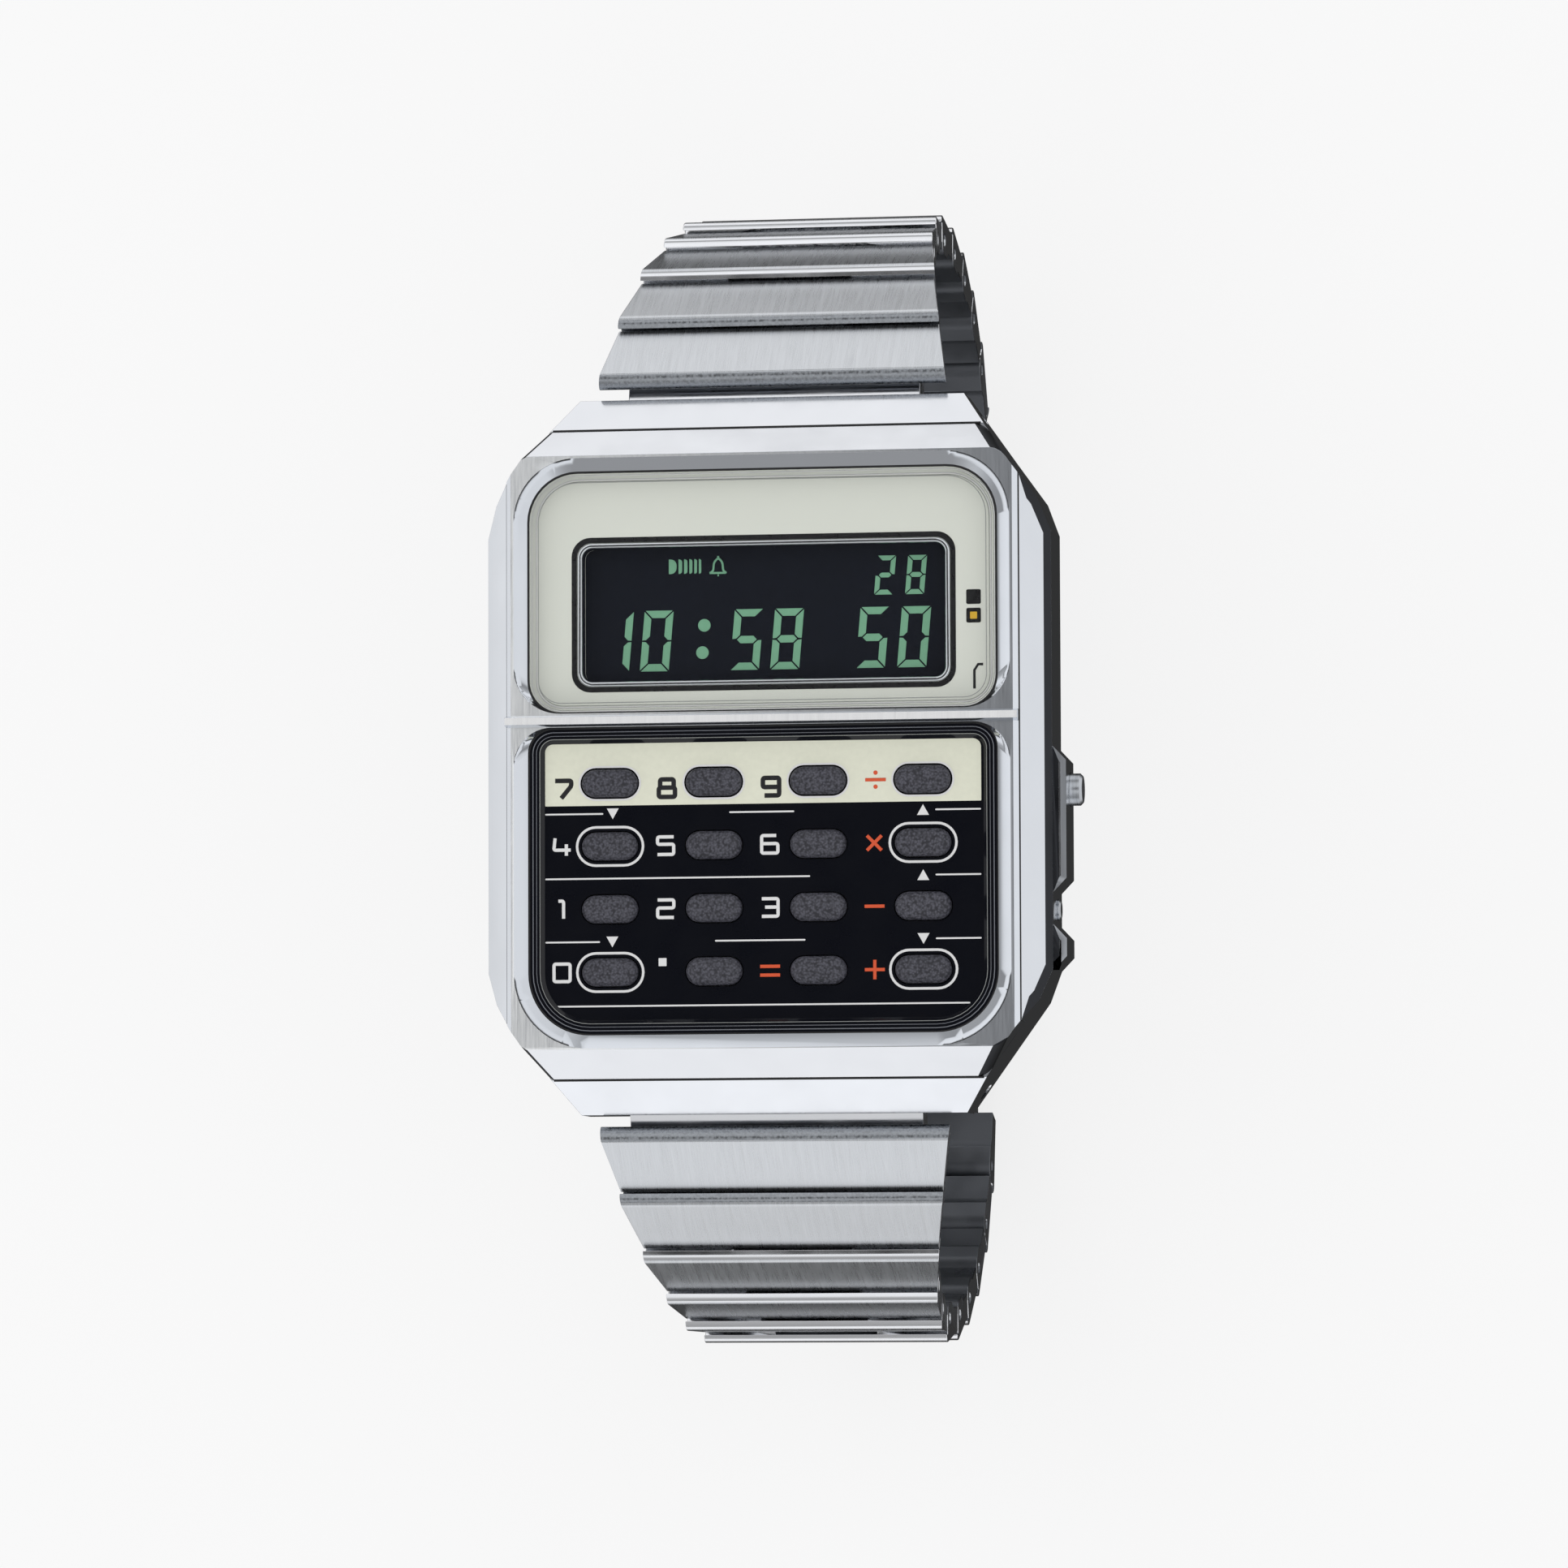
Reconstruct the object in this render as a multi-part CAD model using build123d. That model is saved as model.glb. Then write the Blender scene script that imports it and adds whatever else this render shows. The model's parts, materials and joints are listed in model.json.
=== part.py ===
from build123d import *
import math
import os

# Calculator watch on a folded-link steel bracelet, millimetres.
# +Z points out of the dial, +Y to 12 o'clock, +X to 3 o'clock.
# The origin is the centre of the case back's outer face. The bracelet is closed at rest.

overrun = 2.0               # how far every cutting shape runs past the wall it cuts
seat_fit = 0.03             # gap between pieces that seat in each other inside the case

# Case, from above: the corners of the upper right quarter, from the lug to the flank
case_half_width = 17.1
case_half_length = 21.6
lug_half_width = 11.7
shoulder_x = 14.6
shoulder_inset = 4.1        # insets here are measured along Y from the lug ends
hip_x = 16.4
hip_inset = 6.6
flank_inset = 8.5
case_floor = 0.8            # height of the case's lower face over the case back's outer face
deck_bottom = 5.0
deck_top = 5.8
flank_foot = 5.2
flank_top = 7.7
hood_foot = 3.7
hood_run = 2.05
lug_gap = 18.0
lug_depth = 3.0
hood_underside = 3.3

# Hollow of the case
cavity_half_width = 14.8
cavity_inset = 5.0
cavity_corner_x = 9.0
cavity_corner_run = 6.3

# Bezel
bezel_half_width = 15.45
bezel_top = 8.2
bezel_crest_run = 1.75
bezel_edge_chamfer = 0.3
rim_depth = 0.4
rim_width = 0.8
divider_bottom = 1.62
divider_top = 2.07
divider_rise = 0.5
divider_slope = 0.12

# Display opening and what fills it
opening_width = 28.36
display_bottom = 2.31
display_top = 16.85
display_top_radius = 3.0
display_bottom_radius = 2.0
window_thickness = 0.9
window_chamfer = 0.25
lcd_view_width = 21.94
lcd_view_bottom = 4.27
lcd_view_top = 12.3
lcd_view_radius = 0.6
lcd_frame_width = 0.35
lcd_width = 24.3
lcd_margin = 1.2
lcd_glass = 0.42
strip_width = 1.6

# Keypad opening, panel and keys
keypad_bottom = -16.94
keypad_top = 1.48
keypad_top_radius = 1.5
keypad_bottom_radius = 3.7
panel_top = 7.35
panel_lip = 0.9
panel_lip_rise = 0.3
key_length = 3.4
key_width = 1.68
key_column_pitch = 6.3
key_row_pitch = 3.77
key_steps = 3               # from the first key of a row or column to its last
key_field_x = -9.28
key_field_y = -1.86
key_top = 7.75
key_crown = 0.22
key_travel = 0.4
key_guide_fit = 0.07
flange_rim = 0.35
flange_bottom = 6.05
flange_top = 6.5
flange_room = 0.2
plunger_length = 2.2
plunger_width = 1.0
plunger_bottom = 5.75

# Module
board_bottom = 3.6
board_thickness = 0.55
board_margin = 0.7
mat_thickness = 0.42
mat_side = 1.775            # from the outermost keys to the mat's edges
mat_head = 2.0
mat_foot = 2.6
dome_base_radius = 1.15
dome_top_radius = 0.6
dome_gap = 0.05             # left between a pressed key and its dome
frame_bottom = 1.25
frame_side_gap = 0.5
battery_radius = 10.0
battery_height = 1.6
battery_x = -2.5
battery_y = 3.5
battery_fit = 0.12
battery_bottom = 1.45
battery_rim = 0.3
battery_step = 1.3
clip_thickness = 0.15
clip_width = 4.0
clip_leaf_x = 13.5
clip_leaf_top = 3.45
clip_leaf_overhang = 1.2
clip_slot = 1.0
clip_foot = 1.0
chip_size = 5.0
chip_height = 0.9
chip_x = 5.5
chip_y = -10.0
chip_gap = 0.25
crystal_radius = 0.75
crystal_length = 5.2
crystal_x = -9.5
crystal_y = -9.5
buzzer_radius = 5.8
buzzer_thickness = 0.2
buzzer_x = 5.5
buzzer_y = -9.2

# Case back, its gasket and its four screws
back_inset_x = 0.7
back_end_inset = 4.4
back_shoulder_x = 13.9
back_hip_x = 15.7
back_hip_inset = 7.0
back_flank_inset = 9.2
back_boss_rise = 0.2
back_boss_gap = 0.15
back_chamfer = 0.25
gasket_gap = 0.35
gasket_width = 0.6
gasket_height = 0.45
screw_x = 12.6
screw_inset = 6.0
screw_radius = 0.6
screw_fit = 0.02
screw_head_radius = 1.1
screw_head_height = 0.42
screw_recess = 0.08
screw_length = 3.3
screw_slot_width = 0.35
screw_slot_depth = 0.2

# Pushers and their guard on the 3 o'clock side
guard_depth = 0.8
guard_start_y = 0.2
guard_end_y = -13.2
guard_slope = 0.85
guard_low = 1.3
guard_high = 4.9
pusher_height = 2.6
mode_y = -2.3
mode_head_radius = 0.97
mode_stem_radius = 0.5
mode_proud = 1.55           # how far each head stands out of the case's side
mode_travel = 0.6
adjust_y = -9.5
adjust_notch = 1.9
adjust_head_radius = 0.6
adjust_stem_radius = 0.35
adjust_proud = 0.2
adjust_travel = 0.4
pusher_fit = 0.06
pusher_head_depth = 1.0     # how deep a pushed head still sits inside its counterbore
ring_width = 0.3
ring_rim = 0.3
ring_gap = 0.05
stem_overhang = 0.12
head_chamfer_share = 1 / 6

# Spring bars between the lugs
bar_inset = 1.3
bar_z = 1.9
bar_radius = 0.75
bar_tip_radius = 0.4
bar_hole_radius = 0.45
bar_tip_reach = 10.6
bar_shoulder = 0.12
bar_end_gap = 0.1

# Bracelet: section of one link. u runs along the link from its near hinge, v outwards.
link_pitch = 4.75
link_count = 11
first_hinge_run = 4.98      # from the lug ends to the first free hinge of each half
first_hinge_z = -0.65
nose_reach = 1.5            # the nose laps over the end of the link before
nose_foot = 1.0
nose_throat = 0.93
nose_bulge_share = 0.7
nose_back = 0.85
nose_top = 1.4
lug_nose_reach = 1.1        # a deeper, rounder nose on the first link, beside the case
lug_nose_foot = 0.5
lug_nose_throat = 0.43
lug_nose_back = 0.6
plate_end_top = 0.95
plate_bottom = 0.6
end_gap = 1.25
knuckle_radius = 1.0
knuckle_back = 1.7
tongue_radius = 0.75
tongue_half_thickness = 0.6
tongue_share = 0.4
tongue_side_gap = 0.12
pin_radius = 0.4
pin_fit = 0.03
pin_inset = 0.25
notch_gap = 0.12
lug_tongue_gap = 0.1
lug_barrel_radius = 1.25
lug_web_u = 1.0
lug_web_radius = 0.6
lug_throat = 0.6            # how far the first plate's underside stays from the lug ends
tail_link_count = 4
tail_width = 12.8
tail_nose_top = 1.25
tail_nose_foot = 0.98
tail_end_top = 0.85
hook_bar_radius = 0.6
hook_bar_distance = 8.2
hook_bar_heading = 166.0
tail_heading = 180.0
fork_half_width = 6.4
fork_arm = 1.5
fork_radius = 1.0
fork_half_thickness = 0.65

# Headings of the links' plates, in degrees below the face, and the widths at their noses
headings = [38, 50, 62, 73, 83, 93, 103, 114, 127, 143, 162]
nose_widths = [21.35, 19.75, 18.2, 16.8, 16.0, 15.3, 15.3, 15.3, 15.3, 15.3, 15.3, 15.3]

# Buckle on the 6 o'clock half's straight tail
buckle_width = 14.3
buckle_wall = 0.6
buckle_floor_gap = 0.15
buckle_start_gap = 1.5      # from the tail's hinge to the buckle's near end
buckle_end_gap = 0.66       # from the hooked bar to the buckle's far end
buckle_wall_reach = 3.18
buckle_corner = 1.0
lock_window_width = 10.0
lock_window_gap = 0.15
lock_pin_run = 14.612       # from the tail's hinge, so that the lock's rib falls between links
lock_pin_radius = 0.25
lock_barrel_radius = 0.5
lock_plate_length = 9.0
lock_thickness = 0.55
lock_rib_start = 6.3
lock_rib_length = 2.2
lock_rib_depth = 0.4
lock_boss_width = 1.4
cover_gap = 0.25
cover_thickness = 0.6
cover_side_gap = 0.15
cover_side = 0.6
cover_pivot_inset = 0.9
cover_pivot_drop = 1.03
cover_pin_radius = 0.5
cover_ear_radius = 1.0
cover_plate_start = 1.1
cover_flange_rise = 1.5
cover_flange_end = 1.2
cover_corner = 1.6
hook_gap = 0.15
hook_wall = 0.6
hook_width = 9.0
hook_lip_share = 1 / 3

# Heights and places that follow from the sizes above
shoulder_y = case_half_length - shoulder_inset
hip_y = case_half_length - hip_inset
flank_half_length = case_half_length - flank_inset
hood_top_y = case_half_length - hood_run
lug_wall_y = case_half_length - lug_depth
cavity_half_length = case_half_length - cavity_inset
cavity_corner_y = cavity_half_length - cavity_corner_run
bezel_crest_y = hood_top_y - bezel_crest_run
back_end_y = case_half_length - back_end_inset
back_hip_y = case_half_length - back_hip_inset
back_flank_y = case_half_length - back_flank_inset
screw_y = case_half_length - screw_inset
bar_y = case_half_length - bar_inset
first_hinge_y = case_half_length + first_hinge_run
mode_reach = case_half_width + mode_proud
adjust_reach = case_half_width + adjust_proud
mat_left = key_field_x - key_length / 2 - mat_side
mat_right = key_field_x + key_steps * key_column_pitch + key_length / 2 + mat_side
mat_bottom = key_field_y - key_steps * key_row_pitch - mat_foot
mat_top = key_field_y + mat_head
inset_radius_floor = seat_fit
diagonal_share = math.sqrt(1 / 2)
glass_top = bezel_top - rim_depth
window_bottom = glass_top - window_thickness
board_top = board_bottom + board_thickness
lcd_top = deck_top - seat_fit
lug_tongue_half = lug_gap / 2 - lug_tongue_gap
free_nose = (nose_reach, nose_back, nose_throat, nose_foot, nose_top)
lug_nose = (lug_nose_reach, lug_nose_back, lug_nose_throat, lug_nose_foot, nose_top)
tail_nose = (nose_reach, nose_back, nose_throat, tail_nose_foot, tail_nose_top)
panel_width = opening_width - 2 * seat_fit


def save(node, *solids):
    """Write one named piece of the watch, made of one or more solids."""
    shapes = []
    for solid in solids:
        shapes.extend(solid.solids())
    export_step(Compound(children=shapes) if len(shapes) > 1 else shapes[0], f"parts/{node}.step")


def mirrored_outline(corners):
    """Close a quarter outline, given for +X and +Y, over both axes."""
    lower_right = [(x, -y) for x, y in reversed(corners)]
    lower_left = [(-x, -y) for x, y in corners]
    upper_left = [(-x, y) for x, y in reversed(corners)]
    return list(corners) + lower_right + lower_left + upper_left


def outline_face(points):
    return make_face(Polyline(*points, close=True))


def plan_prism(points, low, high):
    """An outline seen from above, from one height to another."""
    return extrude(Pos(0, 0, low) * outline_face(points), high - low)


def side_prism(points, half_width):
    """An outline of (y, z) points, as wide on both sides of the middle."""
    return extrude(Plane.YZ * outline_face(points), half_width, both=True)


def block(x_low, x_high, y_low, y_high, z_low, z_high):
    return plan_prism([(x_low, y_low), (x_high, y_low), (x_high, y_high), (x_low, y_high)], z_low, z_high)


def rod_x(radius, x_low, x_high, y, z):
    """A round bar along X."""
    return extrude(Plane.YZ.offset(x_low) * Pos(y, z) * Circle(radius), x_high - x_low)


def rod_z(radius, x, y, low, high):
    """A round bar along Z."""
    return extrude(Pos(x, y, low) * Circle(radius), high - low)


def panel_face(width, bottom, top, top_radius, bottom_radius):
    """A rectangle with one corner radius above and another below."""
    face = Pos(0, (bottom + top) / 2) * Rectangle(width, top - bottom)
    face = fillet(face.vertices().sort_by(Axis.Y)[-2:], top_radius)
    return fillet(face.vertices().sort_by(Axis.Y)[:2], bottom_radius)


def inset_face(width, bottom, top, top_radius, bottom_radius, inset):
    upper_radius = max(top_radius - inset, inset_radius_floor)
    lower_radius = max(bottom_radius - inset, inset_radius_floor)
    return panel_face(width - 2 * inset, bottom + inset, top - inset, upper_radius, lower_radius)


case_corners = [(lug_half_width, case_half_length), (shoulder_x, shoulder_y),
                (hip_x, hip_y), (case_half_width, flank_half_length)]
case_outline = mirrored_outline(case_corners)


def cavity_outline(inset):
    """The hollow's outline, drawn in by a gap. A negative gap lies outside it."""
    slope_length = math.hypot(cavity_half_width - cavity_corner_x, cavity_half_length - cavity_corner_y)
    run = cavity_half_width - cavity_corner_x
    rise = cavity_half_length - cavity_corner_y
    corner_x = cavity_corner_x - inset * (slope_length - run) / rise
    corner_y = cavity_corner_y - inset * (slope_length - rise) / run
    return mirrored_outline([(corner_x, cavity_half_length - inset), (cavity_half_width - inset, corner_y)])


# Case body with its lugs, flanks and pusher guard

def pusher_bores(body, y, head_radius, stem_radius, reach, travel):
    """Counterbore for the head and hole for the stem, through the 3 o'clock wall."""
    bottom = reach - travel - pusher_head_depth
    if reach > case_half_width + guard_depth:
        bottom = case_half_width - travel - pusher_fit
    body -= rod_x(head_radius + pusher_fit, bottom, case_half_width + overrun, y, pusher_height)
    body -= rod_x(stem_radius + pusher_fit, cavity_half_width - overrun, bottom + overrun, y, pusher_height)
    return body


def guard_pad(y_high, y_low):
    outer = case_half_width + guard_depth
    inner = case_half_width - guard_depth
    return plan_prism([(inner, y_high), (case_half_width, y_high), (outer, y_high - guard_slope),
                       (outer, y_low + guard_slope), (case_half_width, y_low), (inner, y_low)],
                      guard_low, guard_high)


def make_case_body():
    body = plan_prism(case_outline, case_floor, flank_top)
    for side in (-1, 1):
        wedge = outline_face([(side * bezel_half_width, flank_top),
                              (side * case_half_width, flank_foot),
                              (side * (case_half_width + overrun), flank_foot),
                              (side * (case_half_width + overrun), flank_top + overrun),
                              (side * bezel_half_width, flank_top + overrun)])
        body -= extrude(Plane.XZ * wedge, case_half_length + overrun, both=True)
        body -= side_prism([(side * hood_top_y, deck_top),
                            (side * case_half_length, hood_foot),
                            (side * (case_half_length + overrun), hood_foot),
                            (side * (case_half_length + overrun), flank_top + overrun),
                            (side * hood_top_y, flank_top + overrun)], case_half_width)
    body -= block(-bezel_half_width - seat_fit, bezel_half_width + seat_fit,
                  -hood_top_y, hood_top_y, deck_top, flank_top + overrun)
    body -= plan_prism(cavity_outline(0), case_floor - overrun, deck_bottom)
    body -= block(mat_left - seat_fit, mat_right + seat_fit, mat_bottom - seat_fit, mat_top + seat_fit,
                  deck_bottom - overrun, deck_top + overrun)
    lcd_half = lcd_width / 2 + seat_fit
    body -= block(-lcd_half, lcd_half, lcd_view_bottom - lcd_margin - seat_fit,
                  lcd_view_top + lcd_margin + seat_fit, deck_bottom - overrun, deck_top + overrun)
    groove = plan_prism(cavity_outline(-gasket_gap - gasket_width - seat_fit), case_floor - overrun,
                        case_floor + gasket_height + seat_fit)
    groove -= plan_prism(cavity_outline(-gasket_gap), case_floor - overrun, deck_bottom)
    body -= groove
    for side in (-1, 1):
        y_wall = side * lug_wall_y
        y_out = side * (case_half_length + overrun)
        body -= block(-lug_gap / 2, lug_gap / 2, min(y_wall, y_out), max(y_wall, y_out),
                      case_floor - overrun, hood_underside)
        body -= rod_x(bar_hole_radius, -case_half_width, case_half_width, side * bar_y, bar_z)
        for x in (-screw_x, screw_x):
            body -= rod_z(screw_radius + screw_fit, x, side * screw_y, case_floor - overrun,
                          case_floor + screw_length)
    notch_high = adjust_y + adjust_notch / 2
    notch_low = adjust_y - adjust_notch / 2
    body += guard_pad(guard_start_y, notch_high)
    body += guard_pad(notch_low, guard_end_y)
    body = pusher_bores(body, mode_y, mode_head_radius, mode_stem_radius, mode_reach, mode_travel)
    return pusher_bores(body, adjust_y, adjust_head_radius, adjust_stem_radius, adjust_reach, adjust_travel)


# Bezel: two framed openings with a raised divider

def make_bezel():
    bezel = plan_prism(case_outline, deck_top, bezel_top)
    bezel &= block(-bezel_half_width, bezel_half_width, -hood_top_y, hood_top_y, deck_top, bezel_top)
    for side in (-1, 1):
        bezel -= side_prism([(side * hood_top_y, deck_top),
                             (side * (hood_top_y + overrun), deck_top),
                             (side * (hood_top_y + overrun), bezel_top),
                             (side * bezel_crest_y, bezel_top)], case_half_width)
        rail = outline_face([(side * (bezel_half_width - bezel_edge_chamfer), bezel_top),
                             (side * bezel_half_width, bezel_top - bezel_edge_chamfer),
                             (side * (bezel_half_width + overrun), bezel_top - bezel_edge_chamfer),
                             (side * (bezel_half_width + overrun), bezel_top)])
        bezel -= extrude(Plane.XZ * rail, case_half_length, both=True)
    for bottom, top, top_radius, bottom_radius in (
            (display_bottom, display_top, display_top_radius, display_bottom_radius),
            (keypad_bottom, keypad_top, keypad_top_radius, keypad_bottom_radius)):
        face = panel_face(opening_width, bottom, top, top_radius, bottom_radius)
        bezel -= extrude(Pos(0, 0, deck_top - overrun) * face, bezel_top - deck_top + 2 * overrun)
        wide_bottom = bottom - rim_width if bottom < 0 else bottom
        wide_top = top if bottom < 0 else top + rim_width
        wide = panel_face(opening_width + 2 * rim_width, wide_bottom, wide_top,
                          top_radius + rim_width, bottom_radius + rim_width)
        bezel -= loft([Pos(0, 0, glass_top) * face, Pos(0, 0, bezel_top) * wide])
    bezel += side_prism([(divider_bottom - divider_slope, bezel_top - rim_depth),
                         (divider_bottom - divider_slope, bezel_top),
                         (divider_bottom, bezel_top + divider_rise),
                         (divider_top, bezel_top + divider_rise),
                         (divider_top + divider_slope, bezel_top),
                         (divider_top + divider_slope, bezel_top - rim_depth)], bezel_half_width)
    return bezel


# Display: window glass, printed dial plate and the liquid crystal cell

def make_display_window():
    face = panel_face(panel_width, display_bottom + seat_fit, display_top - seat_fit,
                      display_top_radius, display_bottom_radius)
    glass = extrude(Pos(0, 0, window_bottom) * face, window_thickness)
    return chamfer(glass.faces().sort_by(Axis.Z)[-1].edges(), window_chamfer)


def make_dial_plate():
    face = panel_face(panel_width, display_bottom + seat_fit, display_top - seat_fit,
                      display_top_radius, display_bottom_radius)
    plate = extrude(Pos(0, 0, deck_top) * face, window_bottom - seat_fit - deck_top)
    view = panel_face(lcd_view_width, lcd_view_bottom, lcd_view_top, lcd_view_radius, lcd_view_radius)
    wide = panel_face(lcd_view_width + 2 * lcd_frame_width, lcd_view_bottom - lcd_frame_width,
                      lcd_view_top + lcd_frame_width, lcd_view_radius + lcd_frame_width,
                      lcd_view_radius + lcd_frame_width)
    return plate - loft([Pos(0, 0, deck_top) * view, Pos(0, 0, window_bottom - seat_fit) * wide])


def make_lcd_panel():
    half = lcd_width / 2
    low = lcd_view_bottom - lcd_margin
    high = lcd_view_top + lcd_margin
    middle = lcd_top - lcd_glass
    upper = block(-half, half, low + lcd_margin / 2, high, middle, lcd_top)
    lower = block(-half, half, low, high, middle - lcd_glass, middle)
    strips = []
    for y in (low, high - strip_width):
        strips.append(block(-half + strip_width, half - strip_width, y, y + strip_width,
                            board_top, middle - lcd_glass))
    return [upper + lower] + strips


# Keypad: panel, sixteen keys and the rubber mat below them

key_names = [["seven", "eight", "nine", "divide"],
             ["four", "five", "six", "multiply"],
             ["one", "two", "three", "minus"],
             ["zero", "point", "equals", "plus"]]


def key_places():
    """Each key's name with the middle of its cap."""
    for row, names in enumerate(key_names):
        for column, name in enumerate(names):
            yield name, key_field_x + column * key_column_pitch, key_field_y - row * key_row_pitch


def make_keypad_panel():
    bottom = keypad_bottom + seat_fit
    top = keypad_top - seat_fit
    face = panel_face(panel_width, bottom, top, keypad_top_radius, keypad_bottom_radius)
    panel = extrude(Pos(0, 0, deck_top) * face, panel_top - deck_top)
    rim = extrude(Pos(0, 0, panel_top) * face, panel_lip_rise)
    low = inset_face(panel_width, bottom, top, keypad_top_radius, keypad_bottom_radius, panel_lip)
    high = inset_face(panel_width, bottom, top, keypad_top_radius, keypad_bottom_radius,
                      panel_lip - panel_lip_rise)
    rim -= loft([Pos(0, 0, panel_top) * low, Pos(0, 0, panel_top + panel_lip_rise) * high])
    panel += rim
    hole = SlotOverall(key_length + 2 * key_guide_fit, key_width + 2 * key_guide_fit)
    pocket_gap = flange_rim + flange_room
    pocket = SlotOverall(key_length + 2 * pocket_gap, key_width + 2 * pocket_gap)
    for name, x, y in key_places():
        panel -= extrude(Pos(x, y, deck_top) * hole, panel_top)
        panel -= extrude(Pos(x, y, deck_top - overrun) * pocket, flange_top + seat_fit - deck_top + overrun)
    return panel


def make_key(x, y):
    cap = extrude(Pos(x, y, flange_bottom) * SlotOverall(key_length, key_width), key_top - flange_bottom)
    cap = chamfer(cap.faces().sort_by(Axis.Z)[-1].edges(), key_crown)
    flange = SlotOverall(key_length + 2 * flange_rim, key_width + 2 * flange_rim)
    cap += extrude(Pos(x, y, flange_bottom) * flange, flange_top - flange_bottom)
    plunger = Rectangle(plunger_length, plunger_width)
    return cap + extrude(Pos(x, y, plunger_bottom) * plunger, flange_bottom - plunger_bottom)


def make_key_mat():
    mat_top_z = board_top + mat_thickness
    mat = block(mat_left, mat_right, mat_bottom, mat_top, board_top, mat_top_z)
    dome_height = plunger_bottom - key_travel - dome_gap - mat_top_z
    for name, x, y in key_places():
        mat += Pos(x, y, mat_top_z + dome_height / 2) * Cone(dome_base_radius, dome_top_radius, dome_height)
    return mat


# Module: circuit board, frame, battery with its clip, buzzer

def make_circuit_board():
    board = plan_prism(cavity_outline(board_margin), board_bottom, board_top)
    chip_half = chip_size / 2
    chip = block(chip_x - chip_half, chip_x + chip_half, chip_y - chip_half, chip_y + chip_half,
                 board_bottom - chip_height, board_bottom)
    crystal = rod_x(crystal_radius, crystal_x - crystal_length / 2, crystal_x + crystal_length / 2,
                    crystal_y, board_bottom - crystal_radius)
    return [board, chip, crystal]


def make_module_frame():
    top = board_bottom - seat_fit
    frame = plan_prism(cavity_outline(frame_side_gap), frame_bottom, top)
    frame -= rod_z(battery_radius + battery_fit, battery_x, battery_y, frame_bottom - overrun,
                   battery_bottom + battery_height + seat_fit)
    chip_room = chip_size / 2 + chip_gap
    frame -= block(chip_x - chip_room, chip_x + chip_room, chip_y - chip_room, chip_y + chip_room,
                   board_bottom - chip_height - chip_gap, top + overrun)
    crystal_room = crystal_length / 2 + chip_gap
    crystal_side = crystal_radius + chip_gap
    frame -= block(crystal_x - crystal_room, crystal_x + crystal_room, crystal_y - crystal_side,
                   crystal_y + crystal_side, board_bottom - 2 * crystal_radius - chip_gap, top + overrun)
    clip_room = clip_width / 2 + chip_gap
    frame -= block(-clip_leaf_x, cavity_half_width, battery_y - clip_room, battery_y + clip_room,
                   frame_bottom - overrun, battery_bottom)
    frame -= block(clip_leaf_x - chip_gap, cavity_half_width, adjust_y - clip_room, battery_y + clip_room,
                   frame_bottom - overrun, top + overrun)
    return frame


def make_battery():
    lower = battery_bottom
    cup = rod_z(battery_radius, battery_x, battery_y, lower + battery_rim, lower + battery_height)
    return cup + rod_z(battery_radius - battery_step, battery_x, battery_y, lower, lower + battery_rim)


def make_battery_clip():
    low = battery_bottom - seat_fit - clip_thickness
    half = clip_width / 2
    strap = block(-clip_leaf_x + chip_gap, clip_leaf_x + clip_thickness, battery_y - half, battery_y + half,
                  low, low + clip_thickness)
    leaf = block(clip_leaf_x, clip_leaf_x + clip_thickness, adjust_y - clip_leaf_overhang,
                 battery_y + half, low, clip_leaf_top)
    split = (mode_y + adjust_y) / 2
    leaf -= block(clip_leaf_x - overrun, clip_leaf_x + overrun, split - clip_slot / 2,
                  split + clip_slot / 2, low + clip_foot, clip_leaf_top + overrun)
    return strap + leaf


def make_buzzer():
    return rod_z(buzzer_radius, buzzer_x, buzzer_y, case_floor + back_boss_rise,
                 case_floor + back_boss_rise + buzzer_thickness)


# Case back, gasket and screws

def make_case_back():
    outline = mirrored_outline([(back_shoulder_x, back_end_y), (back_hip_x, back_hip_y),
                                (case_half_width - back_inset_x, back_flank_y)])
    plate = plan_prism(outline, 0, case_floor)
    plate = chamfer(plate.faces().sort_by(Axis.Z)[0].edges(), back_chamfer)
    plate += plan_prism(cavity_outline(back_boss_gap), case_floor, case_floor + back_boss_rise)
    for x in (-screw_x, screw_x):
        for y in (-screw_y, screw_y):
            plate -= rod_z(screw_radius + screw_fit, x, y, -overrun, case_floor + overrun)
            plate -= rod_z(screw_head_radius + screw_fit, x, y, -overrun,
                           screw_recess + screw_head_height + screw_fit)
    return plate


def make_gasket():
    outer = plan_prism(cavity_outline(-gasket_gap - gasket_width), case_floor, case_floor + gasket_height)
    return outer - plan_prism(cavity_outline(-gasket_gap - seat_fit), case_floor - overrun,
                              case_floor + gasket_height + overrun)


def make_screw(x, y):
    head = rod_z(screw_head_radius, x, y, screw_recess, screw_recess + screw_head_height)
    head -= block(x - screw_head_radius, x + screw_head_radius, y - screw_slot_width / 2,
                  y + screw_slot_width / 2, screw_recess - overrun, screw_recess + screw_slot_depth)
    return head + rod_z(screw_radius, x, y, screw_recess + screw_head_height / 2, screw_length)


# Pushers: head, stem and the retaining ring inside the wall

def make_pusher(y, head_radius, stem_radius, reach, travel):
    bottom = reach - pusher_head_depth
    if reach > case_half_width + guard_depth:
        bottom = case_half_width
    head = rod_x(head_radius, bottom, reach, y, pusher_height)
    head = chamfer(head.faces().sort_by(Axis.X)[-1].edges(), head_radius * head_chamfer_share)
    ring_face = cavity_half_width - ring_gap
    stem = rod_x(stem_radius, ring_face - ring_width - stem_overhang, bottom, y, pusher_height)
    ring = rod_x(stem_radius + ring_rim, ring_face - ring_width, ring_face, y, pusher_height)
    ring -= rod_x(stem_radius, ring_face - overrun, ring_face + overrun, y, pusher_height)
    return [head + stem, ring]


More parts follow.
